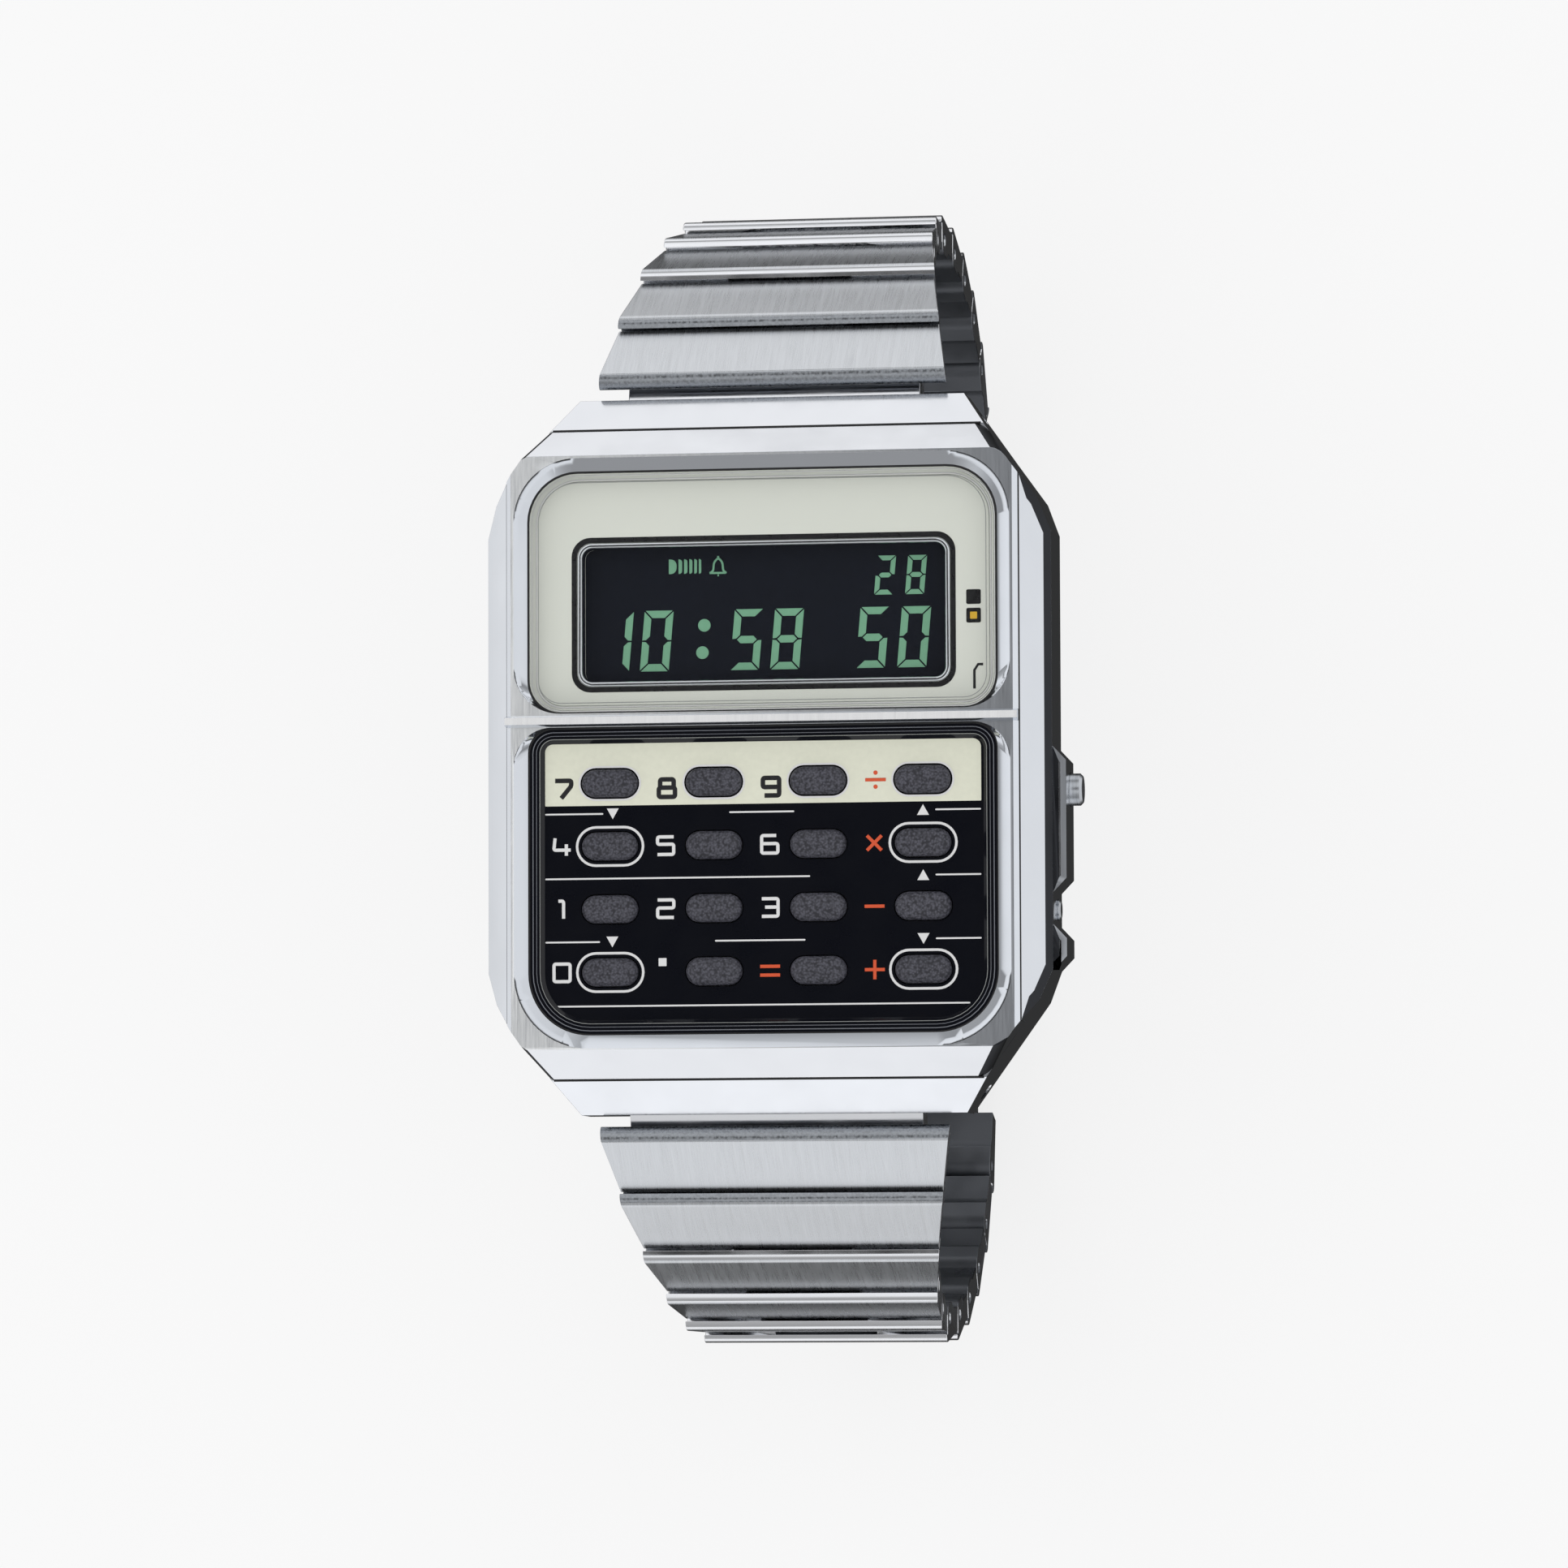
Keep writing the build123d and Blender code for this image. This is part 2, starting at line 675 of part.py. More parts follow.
def make_spring_bar(side):
    half = lug_gap / 2 - bar_end_gap
    bar = rod_x(bar_tip_radius, -bar_tip_reach, bar_tip_reach, side * bar_y, bar_z)
    tube = rod_x(bar_radius, -half, half, side * bar_y, bar_z)
    return bar + chamfer(tube.edges().filter_by(GeomType.CIRCLE), bar_shoulder)


# Bracelet links, drawn with u along X, v along Y and the width along Z

def link_section(pitch, nose, end_top):
    """Nose lapping over the near hinge, sloping plate and the knuckle's underside."""
    reach, back, throat_top, foot, crest = nose
    top = Line((-back, crest), (pitch - end_gap, end_top))
    end = Polyline((pitch - end_gap, end_top), (pitch - end_gap, -plate_bottom),
                   (knuckle_back, -plate_bottom), (knuckle_radius, -knuckle_radius), (0, -knuckle_radius))
    round_start = knuckle_radius * diagonal_share
    barrel = ThreePointArc((0, -knuckle_radius), (-round_start, -round_start), (-knuckle_radius, 0))
    throat = Polyline((-knuckle_radius, 0), (-knuckle_radius, throat_top), (-reach, foot))
    bulge = (-back - (reach - back) * nose_bulge_share, foot + (crest - foot) * nose_bulge_share)
    roll = ThreePointArc((-reach, foot), bulge, (-back, crest))
    return make_face(top + end + barrel + throat + roll)


def side_taper(near_width, far_width, pitch):
    """A wedge, seen from above, whose sides draw in from one link's nose to the next."""
    slope = (far_width - near_width) / 2 / pitch
    start = -nose_reach
    low = start - overrun
    high = pitch + overrun
    near = near_width / 2
    points = [(low, near + slope * (low - start)), (high, near + slope * (high - start)),
              (high, -near - slope * (high - start)), (low, -near - slope * (low - start))]
    return extrude(Plane.XZ * outline_face(points), overrun + lug_barrel_radius + nose_top, both=True)


def tongue(pitch, width):
    """Middle knuckle at a link's far end, bored for the next link's pin."""
    web = Pos(pitch - (end_gap + plate_bottom) / 2, 0) * Rectangle(end_gap + plate_bottom,
                                                                 2 * tongue_half_thickness)
    shape = web + Pos(pitch, 0) * Circle(tongue_radius)
    shape -= Pos(pitch, 0) * Circle(pin_radius + pin_fit)
    return extrude(shape, width * tongue_share / 2, both=True)


def near_notch(width):
    """Room for the tongue of the link before, below the nose."""
    radius = tongue_radius + notch_gap
    back = nose_reach + overrun
    room = Pos(-back / 2, (radius - back) / 2) * Rectangle(back, radius + back)
    room += Pos((knuckle_radius - back) / 2, -back / 2) * Rectangle(knuckle_radius + back, back)
    room += Circle(radius)
    return extrude(room, width * tongue_share / 2 + tongue_side_gap, both=True)


def pin(width, radius):
    return extrude(Circle(radius), width / 2 - pin_inset, both=True)


def make_link(near_width, far_width, joint_width, nose, end_top):
    """One folded link with its own hinge pin. The joint width is that of the link before."""
    body = extrude(link_section(link_pitch, nose, end_top), max(near_width, far_width), both=True)
    body &= side_taper(near_width, far_width, link_pitch)
    body -= near_notch(joint_width)
    body -= extrude(Circle(pin_radius), near_width, both=True)
    body += tongue(link_pitch, far_width)
    return [body, pin(near_width, pin_radius)]


def make_hook_link(near_width):
    """Last link of the 12 o'clock half: a fork that carries the bar for the cover's hook."""
    body = extrude(link_section(link_pitch, free_nose, plate_end_top), near_width, both=True)
    body &= side_taper(near_width, 2 * fork_half_width, link_pitch)
    body -= near_notch(near_width)
    body -= extrude(Circle(pin_radius), near_width, both=True)
    start = link_pitch - end_gap - plate_bottom
    length = hook_bar_distance - start
    arm = Pos(start + length / 2, 0) * Rectangle(length, 2 * fork_half_thickness)
    arm += Pos(hook_bar_distance, 0) * Circle(fork_radius)
    arm -= Pos(hook_bar_distance, 0) * Circle(hook_bar_radius)
    for side in (-1, 1):
        middle = side * (fork_half_width - fork_arm / 2)
        body += Pos(0, 0, middle) * extrude(arm, fork_arm / 2, both=True)
    bar = Pos(hook_bar_distance, 0) * extrude(Circle(hook_bar_radius), fork_half_width, both=True)
    return [body, pin(near_width, pin_radius), bar]


def make_lug_link(near_width, far_width):
    """First link: a tongue on the spring bar between the lugs, under the full-width plate."""
    hinge_u, hinge_v = lug_hinge_in_link()
    plate = extrude(link_section(link_pitch, lug_nose, plate_end_top), near_width, both=True)
    plate &= side_taper(near_width, far_width, link_pitch)
    under = Pos(-overrun / 2, -overrun / 2) * Rectangle(overrun + 2 * plate_bottom, overrun)
    behind = Pos(-lug_throat - overrun / 2, lug_nose_throat - overrun / 2) * Rectangle(overrun, overrun)
    plate -= extrude(under + behind, near_width, both=True)
    web = make_hull((Pos(hinge_u, hinge_v) * Circle(lug_barrel_radius)).edges()
                    + (Pos(lug_web_u, 0) * Circle(lug_web_radius)).edges())
    body = plate + extrude(web, lug_tongue_half, both=True)
    body -= Pos(hinge_u, hinge_v) * extrude(Circle(bar_radius + pin_fit), near_width, both=True)
    return [body + tongue(link_pitch, far_width)]


def lug_hinge_in_link():
    """The spring bar seen from the first link's own frame."""
    heading = math.radians(headings[0])
    hinge_y = first_hinge_y - link_pitch * math.cos(heading)
    hinge_z = first_hinge_z + link_pitch * math.sin(heading)
    along_y = bar_y - hinge_y
    along_z = bar_z - hinge_z
    return (along_y * math.cos(heading) - along_z * math.sin(heading),
            along_y * math.sin(heading) + along_z * math.cos(heading))


def hinge_line():
    """(y, z) of every link's near hinge on the 12 o'clock side, then of the last far hinge."""
    heading = math.radians(headings[0])
    start_y = first_hinge_y - link_pitch * math.cos(heading)
    start_z = first_hinge_z + link_pitch * math.sin(heading)
    places = [(start_y, start_z)]
    for degrees in headings:
        heading = math.radians(degrees)
        y, z = places[-1]
        places.append((y + link_pitch * math.cos(heading), z - link_pitch * math.sin(heading)))
    return places


def put(solids, hinge, degrees, side):
    """Stand a link at its hinge, turned to its heading. Side -1 is the 6 o'clock half."""
    heading = math.radians(degrees)
    frame = Plane(origin=(0, hinge[0], hinge[1]), x_dir=(0, math.cos(heading), -math.sin(heading)),
                  z_dir=(1, 0, 0))
    placed = [frame.location * solid for solid in solids]
    if side < 0:
        placed = [mirror(solid, about=Plane.XZ) for solid in placed]
    return placed


# Buckle: channel over the tail, lock plate in its floor and the fold-over cover

hinges = hinge_line()
tail_y = -hinges[-1][0]
tail_z = hinges[-1][1]
hook_heading = math.radians(hook_bar_heading)
hook_y = hinges[-2][0] + hook_bar_distance * math.cos(hook_heading)
hook_z = hinges[-2][1] - hook_bar_distance * math.sin(hook_heading)
floor_bottom = tail_z + knuckle_radius + buckle_floor_gap
floor_top = floor_bottom + buckle_wall
lock_pin_z = floor_top - lock_barrel_radius / 2
lock_pin_y = tail_y + lock_pin_run
buckle_start = tail_y + buckle_start_gap
buckle_end = hook_y - hook_bar_radius - buckle_end_gap
wall_foot = floor_top - buckle_wall_reach
pivot_y = buckle_start + cover_pivot_inset
pivot_z = tail_z - cover_pivot_drop
cover_inside = wall_foot - cover_gap
cover_outside = cover_inside - cover_thickness
hook_face = hook_y + hook_bar_radius + hook_gap


def make_buckle_base():
    half = buckle_width / 2
    inner = half - buckle_wall
    section = outline_face([(-half, floor_top), (half, floor_top), (half, wall_foot), (inner, wall_foot),
                            (inner, floor_bottom), (-inner, floor_bottom), (-inner, wall_foot),
                            (-half, wall_foot)])
    base = extrude(Plane.XZ.offset(-buckle_end) * section, buckle_end - buckle_start)
    side = Rectangle(buckle_end - buckle_start, buckle_wall_reach)
    side = fillet(side.vertices().sort_by(Axis.Y)[:2], buckle_corner)
    middle = Pos((buckle_start + buckle_end) / 2, (floor_top + wall_foot) / 2)
    base &= extrude(Plane.YZ * middle * side, half, both=True)
    window_end = lock_pin_y + lock_barrel_radius + lock_window_gap
    window_start = lock_pin_y - lock_plate_length - lock_window_gap
    window_half = lock_window_width / 2
    base -= block(-window_half, window_half, window_start, window_end, floor_bottom - overrun,
                  floor_top + overrun)
    for sign in (-1, 1):
        x_in = sign * window_half
        x_out = sign * (window_half + lock_boss_width)
        base += block(min(x_in, x_out), max(x_in, x_out), lock_pin_y - lock_barrel_radius,
                      lock_pin_y + lock_barrel_radius, floor_bottom, lock_pin_z + lock_barrel_radius)
    base -= rod_x(lock_pin_radius, -half, half, lock_pin_y, lock_pin_z)
    base -= rod_x(cover_pin_radius, -half - overrun, half + overrun, pivot_y, pivot_z)
    return base


def make_cover_pins():
    inner = buckle_width / 2 - buckle_wall
    outer = buckle_width / 2 + cover_side_gap + cover_side
    return [rod_x(cover_pin_radius, inner, outer, pivot_y, pivot_z),
            rod_x(cover_pin_radius, -outer, -inner, pivot_y, pivot_z)]


def make_lock_pin():
    reach = lock_window_width / 2 + lock_boss_width - pin_inset
    return rod_x(lock_pin_radius, -reach, reach, lock_pin_y, lock_pin_z)


def make_lock_plate():
    half = lock_window_width / 2 - lock_window_gap
    underside = floor_top - lock_thickness
    plate = block(-half, half, lock_pin_y - lock_plate_length, lock_pin_y, underside, floor_top)
    plate += rod_x(lock_barrel_radius, -half, half, lock_pin_y, lock_pin_z)
    rib_low = lock_pin_y - lock_rib_start - lock_rib_length
    plate += block(-half, half, rib_low, rib_low + lock_rib_length, underside - lock_rib_depth, underside)
    return plate - rod_x(lock_pin_radius + pin_fit, -buckle_width, buckle_width, lock_pin_y, lock_pin_z)


def make_clasp_cover():
    half = buckle_width / 2 + cover_side_gap + cover_side
    inner = half - cover_side
    plate_start = pivot_y + cover_plate_start
    plate_end = hook_face + hook_wall
    face = Pos(0, (plate_start + plate_end) / 2) * Rectangle(2 * half, plate_end - plate_start)
    face = fillet(face.vertices().sort_by(Axis.Y)[-2:], cover_corner)
    cover = extrude(Pos(0, 0, cover_outside) * face, cover_thickness)
    flange_end = buckle_end - cover_flange_end
    ear = outline_face([(pivot_y, pivot_z - cover_ear_radius), (plate_start, cover_outside),
                        (flange_end, cover_outside), (flange_end, cover_inside + cover_thickness),
                        (flange_end - cover_flange_rise, cover_inside + cover_flange_rise),
                        (pivot_y, pivot_z + cover_ear_radius)])
    ear += Pos(pivot_y, pivot_z) * Circle(cover_ear_radius)
    for x_low in (-half, inner):
        cover += extrude(Plane.YZ.offset(x_low) * ear, cover_side)
    lip = hook_wall * hook_lip_share
    root = cover_inside - cover_thickness / 2
    cover += side_prism([(hook_face, root), (hook_face, hook_z), (hook_face + lip, hook_z + lip),
                         (plate_end, hook_z), (plate_end, root)], hook_width / 2)
    return cover - rod_x(cover_pin_radius + pin_fit, -half - overrun, half + overrun, pivot_y, pivot_z)


def build_case():
    save("case_body", make_case_body())
    save("bezel", make_bezel())
    save("display_window", make_display_window())
    save("dial_plate", make_dial_plate())
    save("lcd_panel", *make_lcd_panel())
    save("keypad_panel", make_keypad_panel())
    save("key_mat", make_key_mat())
    save("circuit_board", *make_circuit_board())
    save("module_frame", make_module_frame())
    save("battery", make_battery())
    save("battery_clip", make_battery_clip())
    save("buzzer", make_buzzer())
    save("case_back", make_case_back())
    save("case_gasket", make_gasket())
    save("case_screws", *[make_screw(x, y) for x in (-screw_x, screw_x) for y in (-screw_y, screw_y)])
    save("spring_bars", make_spring_bar(1), make_spring_bar(-1))
    save("mode_pusher", *make_pusher(mode_y, mode_head_radius, mode_stem_radius, mode_reach, mode_travel))
    save("adjust_pusher", *make_pusher(adjust_y, adjust_head_radius, adjust_stem_radius,
                                       adjust_reach, adjust_travel))
    for name, x, y in key_places():
        save(f"key_{name}", make_key(x, y))


def build_bracelet():
    for half, side in (("upper", 1), ("lower", -1)):
        for index in range(link_count):
            near = nose_widths[index]
            far = nose_widths[index + 1]
            degrees = headings[index]
            if index == 0:
                solids = make_lug_link(near, far)
            elif side > 0 and index == link_count - 1:
                solids = make_hook_link(near)
                degrees = hook_bar_heading
            else:
                solids = make_link(near, far, near, free_nose, plate_end_top)
            save(f"{half}_link_{index + 1:02d}", *put(solids, hinges[index], degrees, side))
    tail = []
    for index in range(tail_link_count):
        hinge = (-tail_y - index * link_pitch, tail_z)
        joint = nose_widths[-1] if index == 0 else tail_width
        link = make_link(tail_width, tail_width, joint, tail_nose, tail_end_top)
        tail.extend(put(link, hinge, tail_heading, -1))
    save("band_tail", *tail)
    save("buckle_base", make_buckle_base(), make_lock_pin(), *make_cover_pins())
    save("lock_plate", make_lock_plate())
    save("clasp_cover", make_clasp_cover())


os.makedirs("parts", exist_ok=True)
build_case()
build_bracelet()
print("hinge line", [(round(y, 3), round(z, 3)) for y, z in hinges])
print("hook bar", round(hook_y, 3), round(hook_z, 3), "cover pivot", round(pivot_y, 3), round(pivot_z, 3))
print("lock pin", round(lock_pin_y, 3), round(lock_pin_z, 3), "rest plane", round(cover_outside, 3))
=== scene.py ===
import bpy
import bmesh
import json
import math
from mathutils import Matrix, Vector


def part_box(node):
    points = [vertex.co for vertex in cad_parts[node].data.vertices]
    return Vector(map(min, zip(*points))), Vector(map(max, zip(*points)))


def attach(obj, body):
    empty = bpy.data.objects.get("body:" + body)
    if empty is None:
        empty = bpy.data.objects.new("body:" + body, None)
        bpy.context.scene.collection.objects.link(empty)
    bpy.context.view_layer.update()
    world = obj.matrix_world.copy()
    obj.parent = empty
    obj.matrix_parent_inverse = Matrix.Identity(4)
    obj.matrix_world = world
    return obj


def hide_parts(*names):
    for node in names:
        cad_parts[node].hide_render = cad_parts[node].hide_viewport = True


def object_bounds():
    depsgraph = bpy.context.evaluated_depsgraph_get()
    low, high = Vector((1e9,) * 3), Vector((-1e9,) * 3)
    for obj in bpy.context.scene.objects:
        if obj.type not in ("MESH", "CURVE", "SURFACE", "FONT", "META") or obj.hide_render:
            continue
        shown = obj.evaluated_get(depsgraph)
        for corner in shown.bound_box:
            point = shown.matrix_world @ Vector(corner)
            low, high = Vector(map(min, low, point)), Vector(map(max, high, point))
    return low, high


# Looks of the calculator watch: finishes, printed legends, display and studio
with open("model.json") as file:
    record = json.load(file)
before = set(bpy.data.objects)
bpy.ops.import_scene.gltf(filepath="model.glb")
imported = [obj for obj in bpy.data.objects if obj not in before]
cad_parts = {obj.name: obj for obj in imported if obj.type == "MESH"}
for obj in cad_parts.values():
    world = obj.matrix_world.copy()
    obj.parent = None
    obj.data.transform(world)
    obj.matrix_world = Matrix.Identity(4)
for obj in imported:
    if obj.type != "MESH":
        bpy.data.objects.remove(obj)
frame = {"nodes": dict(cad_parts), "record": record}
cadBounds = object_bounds()
nodes = frame["nodes"]
mm = 0.001
print("frame loaded:", len(nodes), "nodes")

bodyOf = {node: body for body, names in frame["record"]["behaviour"]["bodies"].items() for node in names}
keyNames = [["seven", "eight", "nine", "divide"],
            ["four", "five", "six", "multiply"],
            ["one", "two", "three", "minus"],
            ["zero", "point", "equals", "plus"]]


# Small makers

flatWeight = 90  # how far large faces stay flat beside their eased edges


def addPiece(name, bm, finishes, node, replaces=(), smooth=None):
    # the piece rides on its node's body
    body = bodyOf[node]
    mesh = bpy.data.meshes.new(name)
    bm.to_mesh(mesh)
    bm.free()
    for label in finishes:
        mesh.materials.append(finish[label])
    if smooth:
        for face in mesh.polygons:
            face.use_smooth = True
        mesh.set_sharp_from_angle(angle=math.radians(smooth))
    piece = bpy.data.objects.new(name, mesh)
    bpy.context.collection.objects.link(piece)
    if smooth:
        flats = piece.modifiers.new("flats", "WEIGHTED_NORMAL")
        flats.keep_sharp = True
        flats.weight = flatWeight
    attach(piece, body)
    if replaces:
        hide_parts(*replaces)


def topOf(node):
    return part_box(node)[1].z / mm


merge = {"weld": 0.002, "flat": 0.6}  # mm and degrees
leastStep = 0.004  # mm between a loop's points


def mergedCopy(node):
    # the CAD mesh is loose triangles, so a copy is merged and its flat faces joined
    bm = bmesh.new()
    bm.from_mesh(nodes[node].data)
    bmesh.ops.remove_doubles(bm, verts=bm.verts, dist=merge["weld"] * mm)
    bmesh.ops.dissolve_limit(bm, angle_limit=math.radians(merge["flat"]), verts=bm.verts, edges=bm.edges)
    return bm


def easeEdges(bm, ease, keep=None, slot=-1):
    # rounds every outer crease sharper than the angle, as tumbling and polishing do
    edges = [e for e in bm.edges if len(e.link_faces) == 2 and e.is_convex
             and e.calc_face_angle(0) > math.radians(ease["sharp"])]
    if keep:
        edges = [e for e in edges if keep(e)]
    bmesh.ops.bevel(bm, geom=edges, offset=ease["edge"] * mm, offset_type="OFFSET", affect="EDGES",
                    segments=ease["segments"], profile=0.5, clamp_overlap=True, material=slot)


def roundedLoop(left, right, bottom, top, radii, steps=8):
    # corner radii in the order bottom left, bottom right, top right, top left
    corners = [(left, bottom, 1, 1, 180), (right, bottom, -1, 1, 270),
               (right, top, -1, -1, 0), (left, top, 1, -1, 90)]
    points = []
    for (x, y, sx, sy, start), radius in zip(corners, radii):
        for step in range(steps + 1):
            angle = math.radians(start + 90 * step / steps)
            point = Vector((x + sx * radius + radius * math.cos(angle),
                            y + sy * radius + radius * math.sin(angle)))
            if not points or (point - points[-1]).length > leastStep:
                points.append(point)
    if (points[-1] - points[0]).length < leastStep:
        points.pop()
    return points


def roundedBox(x, y, halfX, halfY, radius, steps=8):
    return roundedLoop(x - halfX, x + halfX, y - halfY, y + halfY, [radius] * 4, steps)


def addSheet(bm, loops, low, high):
    # a thin flat sheet with holes: its outer loop comes first
    edges = []
    for points in loops:
        verts = [bm.verts.new((x * mm, y * mm, low * mm)) for x, y in points]
        edges += [bm.edges.new((verts[i - 1], verts[i])) for i in range(len(verts))]
    filled = bmesh.ops.triangle_fill(bm, edges=edges, use_beauty=True)
    faces = [f for f in filled["geom"] if isinstance(f, bmesh.types.BMFace)]
    raised = bmesh.ops.extrude_face_region(bm, geom=faces)
    verts = [v for v in raised["geom"] if isinstance(v, bmesh.types.BMVert)]
    bmesh.ops.translate(bm, verts=verts, vec=(0, 0, (high - low) * mm))
    bmesh.ops.recalc_face_normals(bm, faces=bm.faces)


# Lower and upper faces of the printed films over their ground, in mm
films = {"print": (0.002, 0.012), "segment": (0.004, 0.024), "colourKey": (0.013, 0.02),
         "overprint": (0.013, 0.022), "collar": (0.002, 0.05)}


def addFilm(bm, loops, ground, film="print"):
    low, high = films[film]
    addSheet(bm, loops, ground + low, ground + high)


def softPath(points, radius, steps=5):
    # rounds the inner corners of a drawn line
    path = [Vector(points[0])]
    for before, corner, after in zip(points, points[1:], points[2:]):
        corner = Vector(corner)
        toBefore = Vector(before) - corner
        toAfter = Vector(after) - corner
        cut = min(radius, toBefore.length / 2, toAfter.length / 2)
        first = corner + toBefore.normalized() * cut
        last = corner + toAfter.normalized() * cut
        for step in range(steps + 1):
            share = step / steps
            path.append(first * (1 - share) ** 2 + corner * 2 * share * (1 - share) + last * share ** 2)
    path.append(Vector(points[-1]))
    return path


def addStrokes(bm, paths, width, height, rise, closed=False):
    # ink lines: round-ended strokes pressed nearly flat
    curve = bpy.data.curves.new("ink", "CURVE")
    curve.dimensions = "3D"
    curve.bevel_depth = width / 2
    curve.bevel_resolution = 2
    curve.use_fill_caps = True
    for path in paths:
        spline = curve.splines.new("POLY")
        spline.points.add(len(path) - 1)
        for point, place in zip(spline.points, path):
            point.co = (place[0], place[1], 0, 1)
        spline.use_cyclic_u = closed
    holder = bpy.data.objects.new("ink", curve)
    mesh = bpy.data.meshes.new_from_object(holder)
    flatten = Matrix.Diagonal((mm, mm, rise / width * 2 * mm, 1))
    mesh.transform(Matrix.Translation((0, 0, height * mm)) @ flatten)
    bm.from_mesh(mesh)
    bpy.data.objects.remove(holder)
    bpy.data.meshes.remove(mesh)


# Shared surface effects as node groups

def newGroup(name, values, masks):
    # every group takes a place and some values, and gives masks
    group = bpy.data.node_groups.new(name, "ShaderNodeTree")
    group.interface.new_socket(name="Vector", in_out="INPUT", socket_type="NodeSocketVector")
    for label, value in values.items():
        socket = group.interface.new_socket(name=label, in_out="INPUT", socket_type="NodeSocketFloat")
        socket.default_value = value
    for label in masks:
        group.interface.new_socket(name=label, in_out="OUTPUT", socket_type="NodeSocketFloat")
    return group, group.nodes.new("NodeGroupInput"), group.nodes.new("NodeGroupOutput")


def feed(tree, value, socket):
    # numbers and colours are set, outputs are linked
    if isinstance(value, tuple):
        socket.default_value = (*value, 1) if socket.type == "RGBA" else value
    elif isinstance(value, (int, float)):
        socket.default_value = value
    else:
        tree.links.new(value, socket)


def mathNode(tree, operation, first, second, clamp=False):
    node = tree.nodes.new("ShaderNodeMath")
    node.operation = operation
    node.use_clamp = clamp
    feed(tree, first, node.inputs[0])
    feed(tree, second, node.inputs[1])
    return node.outputs[0]


def vectorNode(tree, operation, first, second=None):
    node = tree.nodes.new("ShaderNodeVectorMath")
    node.operation = operation
    feed(tree, first, node.inputs[0])
    if second is not None:
        feed(tree, second, node.inputs[1])
    return node.outputs["Vector" if operation == "MULTIPLY" else "Value"]


def rangeNode(tree, value, fromLow, fromHigh, low=0.0, high=1.0):
    node = tree.nodes.new("ShaderNodeMapRange")
    for label, given in (("Value", value), ("From Min", fromLow), ("From Max", fromHigh),
                         ("To Min", low), ("To Max", high)):
        feed(tree, given, node.inputs[label])
    return node.outputs["Result"]


def splitPlace(tree, vector):
    node = tree.nodes.new("ShaderNodeSeparateXYZ")
    tree.links.new(vector, node.inputs[0])
    return node.outputs


def noiseNode(tree, vector, scale, detail=2.0, rough=0.5):
    node = tree.nodes.new("ShaderNodeTexNoise")
    for label, given in (("Vector", vector), ("Scale", scale), ("Detail", detail), ("Roughness", rough)):
        feed(tree, given, node.inputs[label])
    return node.outputs["Fac"]


# Noises are given as scale, detail and roughness
brushed = {"across": 13.0, "along": 0.45, "broad": (260.0, 3.0, 0.6), "fine": (1150.0, 2.0, 0.55),
           "broadShare": 0.45, "fineShare": 0.55, "depth": 0.01}


def makeBrushedGrain():
    # fine lines along the band: noise squeezed across X
    group, enter, leave = newGroup("brushedGrain", {"Across": brushed["across"], "Along": brushed["along"]},
                                   ("Streaks", "Fine"))
    combine = group.nodes.new("ShaderNodeCombineXYZ")
    for axis, label in (("X", "Across"), ("Y", "Along"), ("Z", "Along")):
        group.links.new(enter.outputs[label], combine.inputs[axis])
    stretch = vectorNode(group, "MULTIPLY", enter.outputs["Vector"], combine.outputs[0])
    broad = noiseNode(group, stretch, *brushed["broad"])
    fine = noiseNode(group, stretch, *brushed["fine"])
    mixed = mathNode(group, "ADD", mathNode(group, "MULTIPLY", broad, brushed["broadShare"]),
                     mathNode(group, "MULTIPLY", fine, brushed["fineShare"]))
    group.links.new(mixed, leave.inputs["Streaks"])
    group.links.new(fine, leave.inputs["Fine"])
    return group


handling = {"size": 160.0, "detail": 3.0, "rough": 0.55, "turn": (0.3, 0.2, 0.7), "squeeze": (1.0, 0.02, 1.0),
            "hairline": (5200.0, 1.0, 0.5), "start": 0.68, "gain": 9.0}


def makeHandlingMarks():
    # soft smudges and faint hairlines from wear
    group, enter, leave = newGroup("handlingMarks", {"Size": handling["size"]}, ("Smudge", "Hairline"))
    smudge = noiseNode(group, enter.outputs["Vector"], enter.outputs["Size"], handling["detail"],
                       handling["rough"])
    turned = group.nodes.new("ShaderNodeMapping")
    turned.inputs["Rotation"].default_value = handling["turn"]
    turned.inputs["Scale"].default_value = handling["squeeze"]
    group.links.new(enter.outputs["Vector"], turned.inputs["Vector"])
    lines = noiseNode(group, turned.outputs[0], *handling["hairline"])
    above = mathNode(group, "SUBTRACT", lines, handling["start"])
    thin = mathNode(group, "MULTIPLY", above, handling["gain"], clamp=True)
    group.links.new(smudge, leave.inputs["Smudge"])
    group.links.new(thin, leave.inputs["Hairline"])
    return group


pebble = {"size": 5200.0, "rollScale": 0.55, "rollDetail": 3.0, "height": 0.5, "tone": 0.55, "pitPaintedShade": 0.65,
          "rollTone": 0.35}


